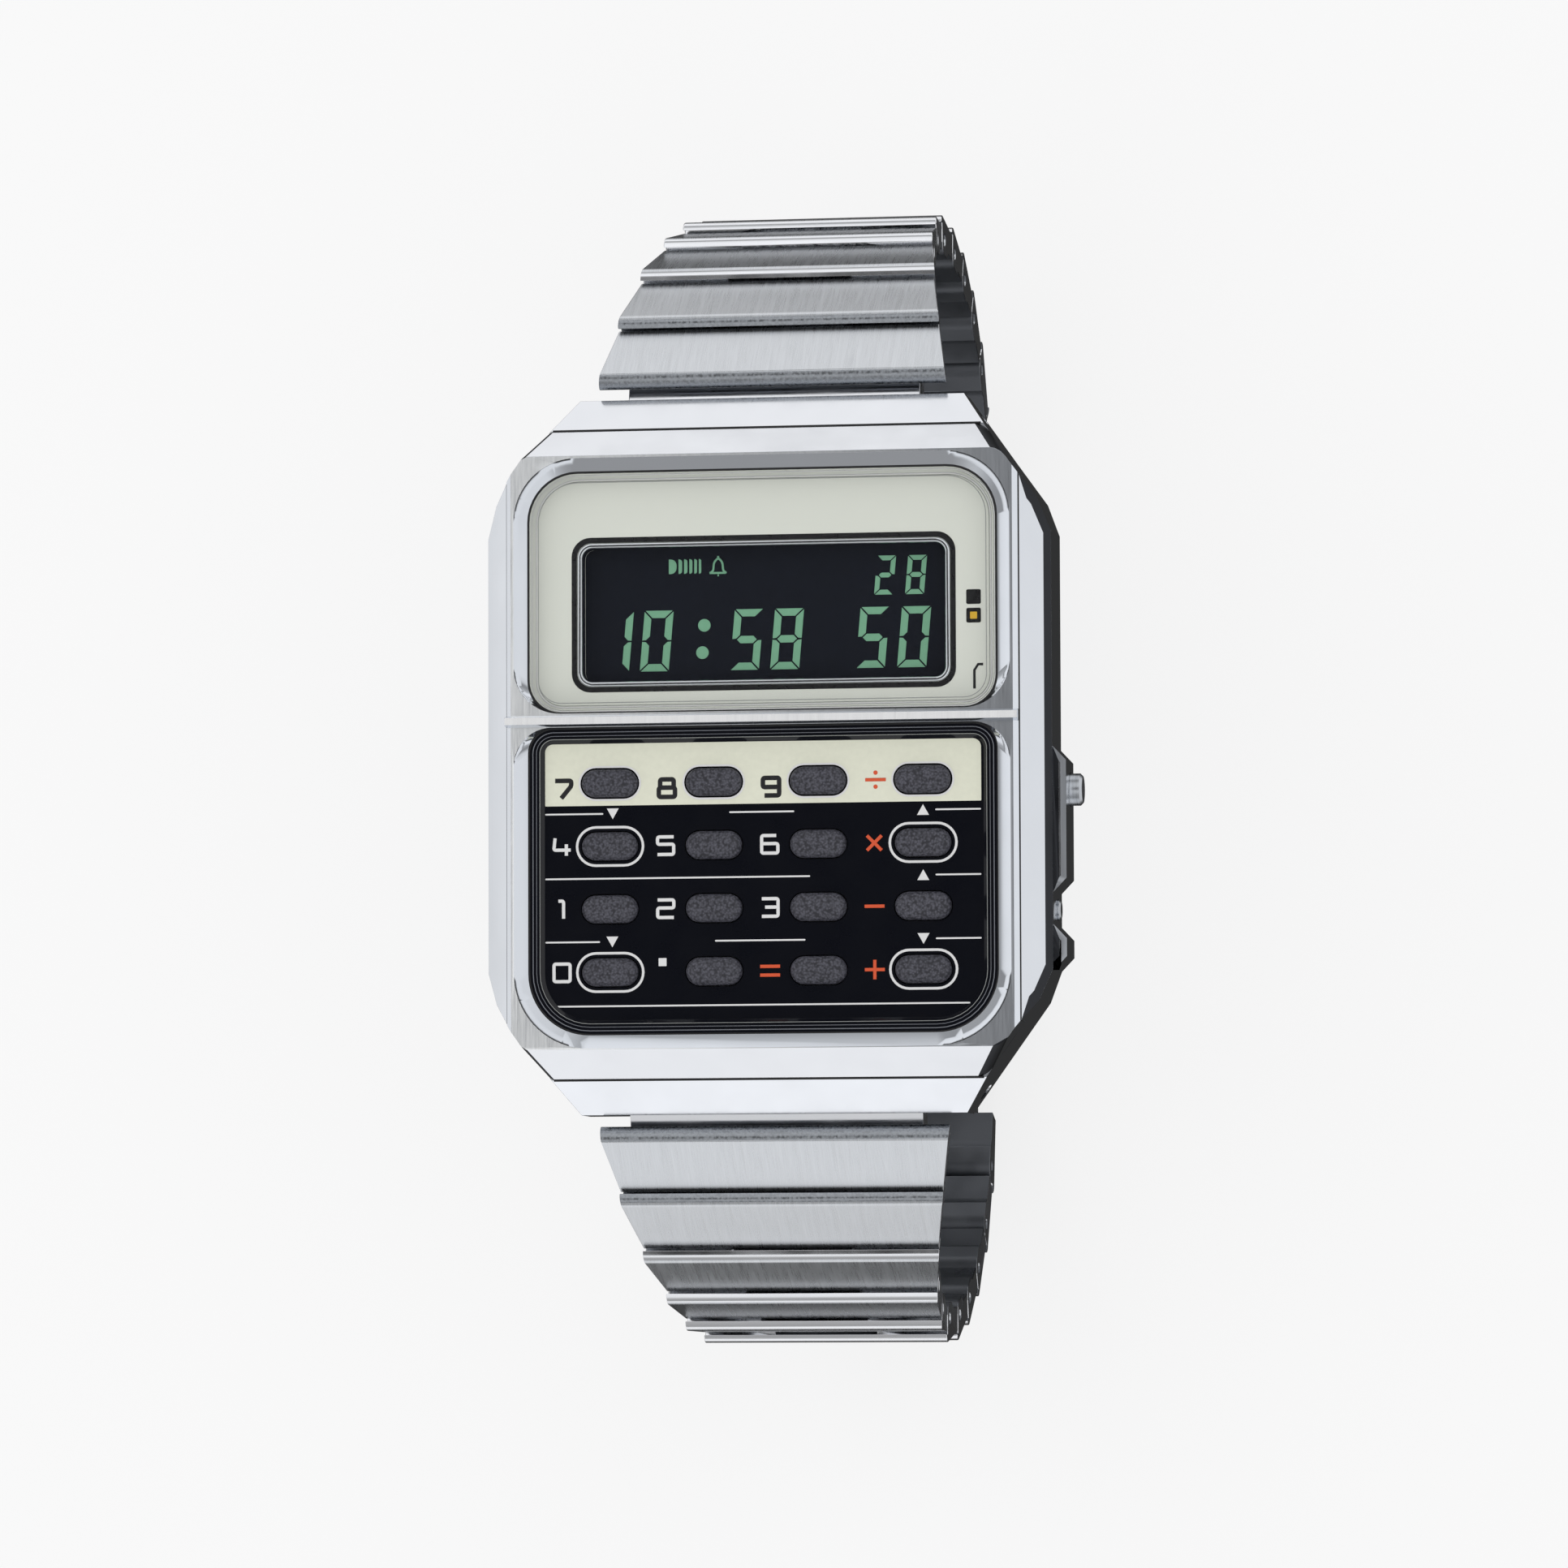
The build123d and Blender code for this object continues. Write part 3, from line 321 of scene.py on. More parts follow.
def makePebble():
    # small rounded bumps, as on moulded rubber and cast edges
    group, enter, leave = newGroup("pebbleGrain", {"Size": pebble["size"]}, ("Height", "Tone"))
    cells = group.nodes.new("ShaderNodeTexVoronoi")
    cells.feature = "SMOOTH_F1"
    group.links.new(enter.outputs["Vector"], cells.inputs["Vector"])
    group.links.new(enter.outputs["Size"], cells.inputs["Scale"])
    pits = cells.outputs["Distance"]
    larger = mathNode(group, "MULTIPLY", enter.outputs["Size"], pebble["rollScale"])
    rolls = noiseNode(group, enter.outputs["Vector"], larger, pebble["rollDetail"])
    height = mathNode(group, "ADD", mathNode(group, "SUBTRACT", 1.0, pits), rolls)
    group.links.new(mathNode(group, "MULTIPLY", height, pebble["height"]), leave.inputs["Height"])
    # the tone is partly grain and partly painted shade: darker in the pits, lighter on the crests
    crest = mathNode(group, "SUBTRACT", pebble["tone"], mathNode(group, "MULTIPLY", pits, pebble["pitPaintedShade"]))
    tone = mathNode(group, "ADD", crest, mathNode(group, "MULTIPLY", rolls, pebble["rollTone"]))
    group.links.new(tone, leave.inputs["Tone"])
    return group


brushedGrain = makeBrushedGrain()
handlingMarks = makeHandlingMarks()
pebbleGrain = makePebble()


# Materials

def startMaterial(name, **constants):
    material = bpy.data.materials.new(name)
    material.use_nodes = True
    tree = material.node_tree
    shader = tree.nodes["Principled BSDF"]
    for label, value in constants.items():
        shader.inputs[label.replace("_", " ")].default_value = value
    coordinates = tree.nodes.new("ShaderNodeTexCoord")
    return material, tree, shader, coordinates.outputs["Object"]


def placeGroup(tree, group, vector, **values):
    node = tree.nodes.new("ShaderNodeGroup")
    node.node_tree = group
    tree.links.new(vector, node.inputs["Vector"])
    for label, value in values.items():
        node.inputs[label].default_value = value
    return node


def blendColours(tree, factor, first, second):
    node = tree.nodes.new("ShaderNodeMix")
    node.data_type = "RGBA"
    tree.links.new(factor, node.inputs["Factor"])
    feed(tree, first, node.inputs[6])
    feed(tree, second, node.inputs[7])
    return node.outputs[2]


def mixShaders(tree, factor, first, second):
    node = tree.nodes.new("ShaderNodeMixShader")
    for socket, output in zip(node.inputs, (factor, first, second)):
        tree.links.new(output, socket)
    return node.outputs[0]


noiseRange = (0.3, 0.7)  # most of a noise lies in it


def spread(tree, value, low, high):
    return rangeNode(tree, value, *noiseRange, low, high)


def scaled(colour, share):
    return tuple(min(1.0, c * share) for c in colour)


def coverWith(tree, shader, mask, first, second, smooth, rough, full=False):
    # one mask drives the colour and the roughness
    factor = spread(tree, mask, 0.0, 1.0) if full else mask
    tree.links.new(blendColours(tree, factor, first, second), shader.inputs["Base Color"])
    tree.links.new(spread(tree, mask, smooth, rough), shader.inputs["Roughness"])


def addBump(tree, shader, height, strength, distance):
    node = tree.nodes.new("ShaderNodeBump")
    node.inputs["Strength"].default_value = strength
    node.inputs["Distance"].default_value = distance * mm
    tree.links.new(height, node.inputs["Height"])
    tree.links.new(node.outputs[0], shader.inputs["Normal"])


# Shares of the given colour and roughness that the marks lead to, their sizes and their depths
wear = {"size": 2600.0, "plastic": 0.9, "ink": 0.88, "steel": 0.93, "dull": (0.85, 1.15), "steelSize": 240.0,
        "steelRough": (0.7, 1.4), "brushedRough": (0.85, 1.2), "smudgeDepth": 0.02, "hairlineRelief": 0.06,
        "hairlineDepth": 0.004}


def smudged(name, size, first, second, smooth, rough, relief=0.0, **constants):
    # smudges vary the colour and the roughness, some with a faint relief
    material, tree, shader, place = startMaterial(name, **constants)
    smudge = placeGroup(tree, handlingMarks, place, Size=size).outputs["Smudge"]
    coverWith(tree, shader, smudge, first, second, smooth, rough)
    if relief:
        addBump(tree, shader, smudge, relief, wear["smudgeDepth"])
    return material


def pebbled(name, size, pit, crest, smooth, rough, strength, depth, **constants):
    material, tree, shader, place = startMaterial(name, **constants)
    grain = placeGroup(tree, pebbleGrain, place, Size=size)
    coverWith(tree, shader, grain.outputs["Tone"], pit, crest, smooth, rough, full=True)
    addBump(tree, shader, grain.outputs["Height"], strength, depth)
    return material


def mouldedPlastic(name, colour, roughness, coat=0.0, size=wear["size"], relief=0.1, shine=0.5):
    smooth, rough = [roughness * share for share in wear["dull"]]
    return smudged(name, size, colour, scaled(colour, wear["plastic"]), smooth, rough, relief,
                   Specular_IOR_Level=shine, Coat_Weight=coat, Coat_Roughness=0.04)


def printedInk(name, colour, roughness=0.45):
    smooth, rough = [roughness * share for share in wear["dull"]]
    return smudged(name, wear["size"], colour, scaled(colour, wear["ink"]), smooth, rough)


def polishedSteel(name, colour, roughness):
    material, tree, shader, place = startMaterial(name, Metallic=1.0)
    marks = placeGroup(tree, handlingMarks, place, Size=wear["steelSize"])
    smooth, rough = [roughness * share for share in wear["steelRough"]]
    coverWith(tree, shader, marks.outputs["Smudge"], colour, scaled(colour, wear["steel"]), smooth, rough)
    addBump(tree, shader, marks.outputs["Hairline"], wear["hairlineRelief"], wear["hairlineDepth"])
    return material


# painted shade: flat tops darken towards their right side
paintedShadeWidth = 28.0  # mm over which a plate darkens towards its right side


def brushedSteel(name, colour, roughness, contrast, strength, paintedShadeColour=None):
    material, tree, shader, place = startMaterial(name, Metallic=1.0)
    grain = placeGroup(tree, brushedGrain, place)
    streaks = grain.outputs["Streaks"]
    steel = blendColours(tree, spread(tree, streaks, 0.0, 1.0), scaled(colour, 1 - contrast),
                         scaled(colour, 1 + contrast))
    # painted shade, darker towards the right side
    if paintedShadeColour:
        across = mathNode(tree, "MULTIPLY", splitPlace(tree, place)["X"], 1 / (paintedShadeWidth * mm))
        steel = blendColours(tree, mathNode(tree, "ADD", across, 0.5, clamp=True), steel, paintedShadeColour)
    tree.links.new(steel, shader.inputs["Base Color"])
    smooth, rough = [roughness * share for share in wear["brushedRough"]]
    tree.links.new(spread(tree, streaks, smooth, rough), shader.inputs["Roughness"])
    addBump(tree, shader, grain.outputs["Fine"], strength, brushed["depth"])
    return material


def clearGlass():
    material, tree, shader, place = startMaterial("clearGlass", IOR=1.47, Transmission_Weight=1.0,
                                                  Base_Color=(0.985, 0.992, 0.985, 1))
    marks = placeGroup(tree, handlingMarks, place, Size=130.0)
    tree.links.new(spread(tree, marks.outputs["Smudge"], 0.0, 0.02), shader.inputs["Roughness"])
    # rays from lamps and off the dial pass straight through, so that the dial is lit as under thin glass
    path = tree.nodes.new("ShaderNodeLightPath")
    through = mathNode(tree, "MAXIMUM", path.outputs["Is Shadow Ray"], path.outputs["Is Diffuse Ray"])
    clear = tree.nodes.new("ShaderNodeBsdfTransparent")
    tree.links.new(mixShaders(tree, through, shader.outputs[0], clear.outputs[0]),
                   tree.nodes["Material Output"].inputs["Surface"])
    return material


board = {"tracks": 420.0, "trackWidth": 0.03, "varnish": (0.02, 0.16, 0.06, 1),
         "paleVarnish": (0.03, 0.20, 0.08, 1), "copper": (0.30, 0.34, 0.10, 1), "chip": (0.02, 0.02, 0.022),
         "paleChip": (0.035, 0.035, 0.04), "thickness": 0.56}


def circuitGreen():
    # copper tracks under green varnish; the chip and the crystal below the board are dark
    material, tree, shader, place = startMaterial("circuitGreen", Roughness=0.4)
    bricks = tree.nodes.new("ShaderNodeTexBrick")
    for label, key in (("Scale", "tracks"), ("Mortar Size", "trackWidth"), ("Color1", "varnish"),
                       ("Color2", "paleVarnish"), ("Mortar", "copper")):
        bricks.inputs[label].default_value = board[key]
    tree.links.new(place, bricks.inputs["Vector"])
    underside = (topOf("circuit_board") - board["thickness"]) * mm
    below = mathNode(tree, "LESS_THAN", splitPlace(tree, place)["Z"], underside)
    marks = placeGroup(tree, handlingMarks, place, Size=900.0)
    chip = blendColours(tree, marks.outputs["Smudge"], board["chip"], board["paleChip"])
    tree.links.new(blendColours(tree, below, bricks.outputs["Color"], chip), shader.inputs["Base Color"])
    addBump(tree, shader, bricks.outputs["Fac"], 0.2, 0.02)
    return material


finish = {
    "case": polishedSteel("polishedCase", (0.76, 0.79, 0.84), 0.07),
    "bezel": polishedSteel("polishedBezel", (0.74, 0.77, 0.82), 0.12),
    "bezelTopPaintedShade": brushedSteel("bezelTopPaintedShade", (0.94, 0.96, 0.98), 0.31, 0.05, 0.06, (0.36, 0.375, 0.40)),
    "dividerTop": brushedSteel("dividerTop", (0.98, 0.98, 0.99), 0.42, 0.04, 0.05),
    # dark steel for the outline's edges: a painted dark reflection
    "paintedDarkReflection": polishedSteel("paintedDarkReflection", (0.035, 0.037, 0.042), 0.3),
    "slope": polishedSteel("satinSlope", (0.90, 0.92, 0.965), 0.14),
    "band": brushedSteel("brushedBand", (0.66, 0.68, 0.71), 0.28, 0.11, 0.14),
    "bandEdge": pebbled("bandEdge", 7000.0, (0.28, 0.294, 0.315), (0.40, 0.42, 0.45), 0.24, 0.375, 0.5, 0.02,
                        Metallic=1.0),
    "bandNose": polishedSteel("bandNose", (0.90, 0.91, 0.94), 0.16),
    "bandInsidePaintedShade": polishedSteel("bandInsidePaintedShade", (0.20, 0.21, 0.23), 0.38),
    "satin": brushedSteel("satinSteel", (0.60, 0.61, 0.63), 0.34, 0.1, 0.12),
    "trim": polishedSteel("trimRing", (0.80, 0.82, 0.86), 0.10),
    "pusher": brushedSteel("pusherSteel", (0.48, 0.50, 0.53), 0.26, 0.35, 0.3),
    "glass": clearGlass(),
    "dial": smudged("creamDial", 90.0, (0.79, 0.81, 0.735), (0.74, 0.76, 0.69), 0.36, 0.48, 0.03,
                    Coat_Weight=0.15, Coat_Roughness=0.12),
    "lcd": smudged("liquidCrystal", 700.0, (0.0105, 0.0125, 0.020), (0.0085, 0.0105, 0.0165), 0.28, 0.36,
                   Specular_IOR_Level=0.08),
    "panel": mouldedPlastic("panelBlack", (0.0022, 0.0028, 0.006), 0.3, 0.6, 400.0, 0.02, 0.08),
    "rubber": pebbled("keyRubber", 8000.0, (0.018, 0.018, 0.026), (0.092, 0.092, 0.118), 0.62, 0.4, 1.0, 0.09),
    # grey steel lines: painted highlights on the keypad border's steps
    "ringPaintedHighlight": polishedSteel("ringPaintedHighlight", (0.26, 0.27, 0.30), 0.3),
    "ringShade": polishedSteel("ringShade", (0.42, 0.43, 0.42), 0.4),
    "seam": mouldedPlastic("seamShadow", (0.006, 0.006, 0.007), 0.6),
    "mat": mouldedPlastic("matRubber", (0.05, 0.05, 0.05), 0.7, relief=0.3),
    "board": circuitGreen(),
    "frame": mouldedPlastic("frameResin", (0.02, 0.02, 0.022), 0.5, size=1800.0, relief=0.2),
    "brass": polishedSteel("springBrass", (0.70, 0.52, 0.26), 0.25),
    "inkBlack": printedInk("inkBlack", (0.006, 0.006, 0.008), 0.3),
    "inkWhite": printedInk("inkWhite", (0.80, 0.80, 0.80)),
    "inkCream": printedInk("inkCream", (0.80, 0.81, 0.665)),
    "inkOrange": printedInk("inkOrange", (0.72, 0.085, 0.018)),
    "inkYellow": printedInk("inkYellow", (0.80, 0.48, 0.02)),
    "segment": printedInk("segmentGreen", (0.19, 0.45, 0.28), 0.4),
}
print("materials made:", len(finish))


# Case and bezel

# the outline's eased edges carry a painted dark reflection, wider on the right side
caseEase = {"edge": 0.11, "segments": 2, "sharp": 20, "outline": 0.2, "outlineRight": 0.5,
            "outlineSegments": 3, "room": 1.8, "shortest": 1.0, "low": 3.0, "rim": (15.2, 17.6), "rimTop": 8.3,
            "strip": 0.13, "nearPusher": 0.7}
# How far faces turn up, along the watch and sideways, and where they are
caseFaces = {"level": 0.98, "upward": 0.3, "upright": 0.1, "along": 0.5, "sideways": 0.7, "outward": 0.3,
             "lower": 0.05, "slopeStart": 17.0, "dividerTop": 8.5, "flankPaintedReflection": 0.7, "flankArea": 20,
             "guardPaintedReflection": 0.34, "guardStart": 17.0, "meet": 0.001}
caseSlot = {"slope": 1, "top": 2, "paintedReflectionEdge": 3, "divider": 4}  # the steel itself is slot 0


def middleOf(edge):
    return (edge.verts[0].co + edge.verts[1].co) / 2


def outsideBezel(place):
    # true on the case's outline, false on the rims around the two openings
    across, along = caseEase["rim"]
    return abs(place.x) > across * mm or abs(place.y) > along * mm


def isStrip(face):
    return face.calc_area() / face.calc_perimeter() * 2 < caseEase["strip"] * mm


def onOutline(edge):
    # the upper edges of the case's side walls
    middle = middleOf(edge)
    tilts = sorted(face.normal.z for face in edge.link_faces)
    return (outsideBezel(middle) and middle.z > caseEase["low"] * mm and abs(tilts[0]) < caseFaces["upright"]
            and tilts[1] > caseFaces["upward"] and edge.calc_length() > caseEase["shortest"] * mm)


def outlineOn(right, width):
    def keep(edge):
        # a tiny neighbour would hold back the whole bevel
        neighbours = [e.calc_length() for vert in edge.verts for e in vert.link_edges]
        onRight = middleOf(edge).x > caseFaces["meet"] * mm
        return onOutline(edge) and onRight == right and min(neighbours) > width * caseEase["room"] * mm
    return keep


def beside(place, node):
    # true near a pusher, whose bore and recess keep their exact edges
    low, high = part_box(node)
    room = caseEase["nearPusher"] * mm
    return all(a - room < b < c + room for a, b, c in zip(low, place, high))


def offStrips(edge):
    middle = middleOf(edge)
    if beside(middle, "mode_pusher") or beside(middle, "adjust_pusher"):
        return False
    if not outsideBezel(middle) and caseEase["low"] * mm < middle.z < caseEase["rimTop"] * mm:
        return False  # the rims of the two openings stay crisp
    return not any(isStrip(face) for face in edge.link_faces)


def paintedReflectionBorder(bm, faces, width, inner=None):
    # a border on the face's outer sides takes the outline's painted dark reflection, the rest may take another
    for face in faces:
        below = face.normal.z - caseFaces["lower"]
        around = [e for e in face.edges
                  if any(other.normal.x > caseFaces["outward"] and other.normal.z < below
                         for other in e.link_faces if other is not face)]
        corners = [(e.verts[0].co.copy(), e.verts[1].co.copy()) for e in around]
        inset = bmesh.ops.inset_individual(bm, faces=[face], thickness=width * mm, use_even_offset=True)
        for strip in inset["faces"]:
            places = [v.co for v in strip.verts]
            if any(all(min((p - c).length for p in places) < caseFaces["meet"] * mm for c in pair)
                   for pair in corners):
                strip.material_index = caseSlot["paintedReflectionEdge"]
        if inner is not None:
            face.material_index = inner


def makeCase():
    for node, name, steel, slot in (("case_body", "case_shell", "case", "case_steel"),
                                    ("bezel", "bezel_frame", "bezel", "bezel_steel")):
        bm = mergedCopy(node)
        # the outline's eased edges take a painted dark reflection, wider on the right side
        for right, width in ((False, caseEase["outline"]), (True, caseEase["outlineRight"])):
            ease = {**caseEase, "edge": width, "segments": caseEase["outlineSegments"]}
            easeEdges(bm, ease, outlineOn(right, width), caseSlot["paintedReflectionEdge"])
        easeEdges(bm, caseEase, offStrips)
        for face in bm.faces:
            if face.material_index == caseSlot["paintedReflectionEdge"]:
                continue
            middle = face.calc_center_median()
            slopes = abs(face.normal.y) > caseFaces["along"] and face.normal.z > caseFaces["upward"]
            if slopes and abs(middle.y) > caseFaces["slopeStart"] * mm:
                face.material_index = caseSlot["slope"]
            elif face.normal.z > caseFaces["level"]:
                raised = middle.z > caseFaces["dividerTop"] * mm
                face.material_index = caseSlot["divider" if raised else "top"]
        if node == "case_body":
            flanks = [f for f in bm.faces
                      if f.normal.x > caseFaces["sideways"] and f.normal.z > caseFaces["upward"]
                      and f.calc_area() > caseFaces["flankArea"] * mm * mm]
            guards = [f for f in bm.faces if f.normal.z > caseFaces["level"]
                      and f.calc_center_median().x > caseFaces["guardStart"] * mm]
            # the outer sides of the flanks and the guards get a painted dark reflection
            paintedReflectionBorder(bm, flanks, caseFaces["flankPaintedReflection"])
            paintedReflectionBorder(bm, guards, caseFaces["guardPaintedReflection"], caseSlot["slope"])
            print("borders on", len(flanks), "flank and", len(guards), "guard faces")
        addPiece(name, bm, [steel, "slope", "bezelTopPaintedShade", "paintedDarkReflection", "dividerTop"],
                 node, [node], smooth=35)


seam = {"endX": 13.0, "endY": 19.55, "endZ": 5.8, "endWidth": 0.15, "endRise": 0.075,
        "sideX": 15.465, "sideY": 16.2, "sideZ": 7.66, "sideWidth": 0.09, "sideRise": 0.15}


def makeSeams():
    # the thin shadow lines where the bezel meets the case
    bm = bmesh.new()
    x, y = seam["endX"], seam["endY"]
    addStrokes(bm, [[(-x, side * y), (x, side * y)] for side in (-1, 1)],
               seam["endWidth"], seam["endZ"], seam["endRise"])
    x, y = seam["sideX"], seam["sideY"]
    addStrokes(bm, [[(side * x, -y), (side * x, y)] for side in (-1, 1)],
               seam["sideWidth"], seam["sideZ"], seam["sideRise"])
    addPiece("bezel_seams", bm, ["seam"], "bezel")


# Bracelet links: brushed plates with pebbled rolled noses, a polished underside darkened as painted shade and
# a lug lit with painted light

linkEase = {"edge": 0.1, "segments": 2, "sharp": 28}
claspEase = {"edge": 0.07, "segments": 2, "sharp": 28}
# Starts are measured along the link from its near hinge; the nose's lower edge is drawn from foot to lip,
# down to the plate before it
linkShape = {"count": 11, "pitch": 4.75, "firstHeading": 38, "lastHeading": 166, "loopMiddle": -18,
             "noseStart": -0.15, "lugStart": -0.5, "foot": (-1.5, 1.0), "lip": (-1.57, 0.89), "footSize": 0.02,
             "facingIn": -0.3, "facingOut": 0.9}
linkSlot = {"nose": 1, "inside": 2, "lug": 3}  # the brushed plate is slot 0


def hingePlaces():
    # the near hinge of every link, from the joints in the record
    places = {}
    for joint in frame["record"]["behaviour"]["joints"]:
        if joint["type"] == "hinge":
            places[joint["child"]] = Vector(joint["pos_m"])
    return places


def dressLink(node, near, far, grained, first):
    along = (far - near).normalized()
    outward = Vector((0, along.z, -along.y))
    if outward.dot(near - Vector((0, 0, linkShape["loopMiddle"] * mm))) < 0:
        outward = -outward
    bm = mergedCopy(node)
    footReach, footRise = linkShape["foot"]
    lipReach, lipRise = linkShape["lip"]
    for vert in bm.verts:
        place = vert.co - near
        off = math.hypot(place.dot(along) - footReach * mm, place.dot(outward) - footRise * mm)
        if off < linkShape["footSize"] * mm and not first:
            vert.co += (along * (lipReach - footReach) + outward * (lipRise - footRise)) * mm
    easeEdges(bm, linkEase)
    for face in bm.faces:
        centre = face.calc_center_median() - near
        reach = centre.dot(along) / mm
        facing = face.normal.dot(outward)
        # the lug under the case's end takes the bright nose steel, painted light over the shade there
        if first and reach < linkShape["lugStart"] and centre.dot(outward) < 0:
            face.material_index = linkSlot["lug"]  # it runs in under the case's end
        # faces turned in towards the loop take a darker copy of the steel, painted shade
        elif facing < linkShape["facingIn"]:
            face.material_index = linkSlot["inside"]
        elif reach < linkShape["noseStart"] and facing < linkShape["facingOut"]:
            face.material_index = linkSlot["nose"]
    addPiece(node + "_dressed", bm, ["band", "bandEdge" if grained else "bandNose", "bandInsidePaintedShade", "bandNose"],
             node, [node], smooth=40)


def towards(degrees, side=1):
    angle = math.radians(degrees)
    return Vector((0, side * math.cos(angle), -math.sin(angle)))


def makeBracelet():
    hinges = hingePlaces()
    last = linkShape["count"]
    for half, side in (("upper", 1), ("lower", -1)):
        for index in range(1, last + 1):
            node = f"{half}_link_{index:02d}"
            near = hinges[node]
            far = hinges.get(f"{half}_link_{index + 1:02d}")
            if index == 1:
                near = far - towards(linkShape["firstHeading"], side) * linkShape["pitch"] * mm
            if index == last:
                far = hinges["buckle"] if half == "lower" else near + towards(linkShape["lastHeading"])
            dressLink(node, near, far, index <= 2, index == 1)
    for node, slot, steel in (("band_tail", "band_steel", "band"), ("clasp_cover", "band_steel", "band"),
                              ("buckle_base", "inner_steel", "satin"), ("lock_plate", "inner_steel", "satin")):
        bm = mergedCopy(node)
        easeEdges(bm, claspEase)
        addPiece(node + "_dressed", bm, [steel], node, [node], smooth=40)


# Keys: pillowed rubber caps

keyEase = {"edge": 0.2, "segments": 5, "sharp": 20}
keyShape = {"rim": 0.3, "flange": 0.35}  # the rounded edge's depth and the hidden flange's width


def makeKeys():
    for name in sum(keyNames, []):
        node = "key_" + name
        bm = mergedCopy(node)
        top = topOf(node) * mm
        easeEdges(bm, keyEase, lambda e: all(abs(v.co.z - top) < keyShape["rim"] * mm for v in e.verts))
        addPiece(node + "_cap", bm, ["rubber"], node, [node], smooth=50)


# Display: printed frame, trim ring and segments

display = {"centreY": 8.28, "halfWidth": 10.97, "bottom": 4.28, "top": 12.29, "ring": 0.33, "ink": 0.32,
           "radii": (0.6, 0.9, 1.15), "ringLow": 0.02, "ringHigh": 0.008, "slant": 5.0}
ringEase = {"edge": 0.1, "segments": 3, "sharp": 40}
# places are a digit's left edge from the display's centre
bigDigit = {"width": 1.76, "height": 3.65, "stroke": 0.44, "gap": 0.045, "bottom": -3.35,
            "places": [("1", -10.1), ("0", -7.68), ("5", -2.2), ("8", 0.24), ("5", 5.42), ("0", 7.92)]}
smallDigit = {"width": 1.14, "height": 2.34, "stroke": 0.29, "gap": 0.035, "bottom": 1.03,
              "places": [("2", 6.55), ("8", 8.42)]}
litSegments = {"0": "abcdef", "1": "bc", "2": "abged", "5": "afgcd", "8": "abcdefg"}
colon = {"dots": [(-3.74, -0.63), (-3.86, -2.27)], "radius": 0.38}
signal = {"middle": 2.93, "half": 0.44, "leftRadius": 0.02,
          "bars": [(-5.89, -5.42, 0.36), (-5.30, -5.08, 0.19), (-4.96, -4.76, 0.17), (-4.64, -4.46, 0.15),
                   (-4.34, -4.18, 0.13), (-4.06, -3.92, 0.11)]}
bell = {"x": -2.89, "y": 2.93, "stroke": 0.13, "lift": 0.01, "rise": 0.012, "corner": 0.16,
        "outline": [(-0.52, -0.42), (-0.30, -0.30), (-0.26, 0.22), (0.0, 0.50), (0.26, 0.22), (0.30, -0.30),
                    (0.52, -0.42), (-0.52, -0.42)],
        "knobs": [[(0, 0.48), (0, 0.60)], [(-0.04, -0.56), (0.04, -0.56)]]}


def segmentShapes(width, height, stroke, gap):
    middle = height / 2
    half = stroke / 2
    mitre = gap * math.sqrt(2)
    return {
        "a": [(mitre, height), (width - mitre, height), (width - stroke - mitre, height - stroke),
              (stroke + mitre, height - stroke)],
        "d": [(stroke + mitre, stroke), (width - stroke - mitre, stroke), (width - mitre, 0), (mitre, 0)],
        "g": [(half + mitre, middle), (stroke + mitre, middle + half), (width - stroke - mitre, middle + half),
              (width - half - mitre, middle), (width - stroke - mitre, middle - half),
              (stroke + mitre, middle - half)],
        "f": [(0, middle + gap), (0, height - mitre), (stroke, height - stroke - mitre),
              (stroke, middle + half + mitre), (half, middle + mitre)],
        "e": [(half, middle - mitre), (stroke, middle - half - mitre), (stroke, stroke + mitre), (0, mitre),
              (0, middle - gap)],
        "b": [(width - half, middle + mitre), (width - stroke, middle + half + mitre),
              (width - stroke, height - stroke - mitre), (width, height - mitre), (width, middle + gap)],
        "c": [(width - stroke, stroke + mitre), (width - stroke, middle - half - mitre),
              (width - half, middle - mitre), (width, middle - gap), (width, mitre)],
    }


def addDigits(bm, style, ground):
    shapes = segmentShapes(style["width"], style["height"], style["stroke"], style["gap"])
    lean = math.tan(math.radians(display["slant"]))
    for digit, left in style["places"]:
        for letter in litSegments[digit]:
            points = [(left + x + y * lean, display["centreY"] + style["bottom"] + y)
                      for x, y in shapes[letter]]
            addFilm(bm, [points], ground, "segment")


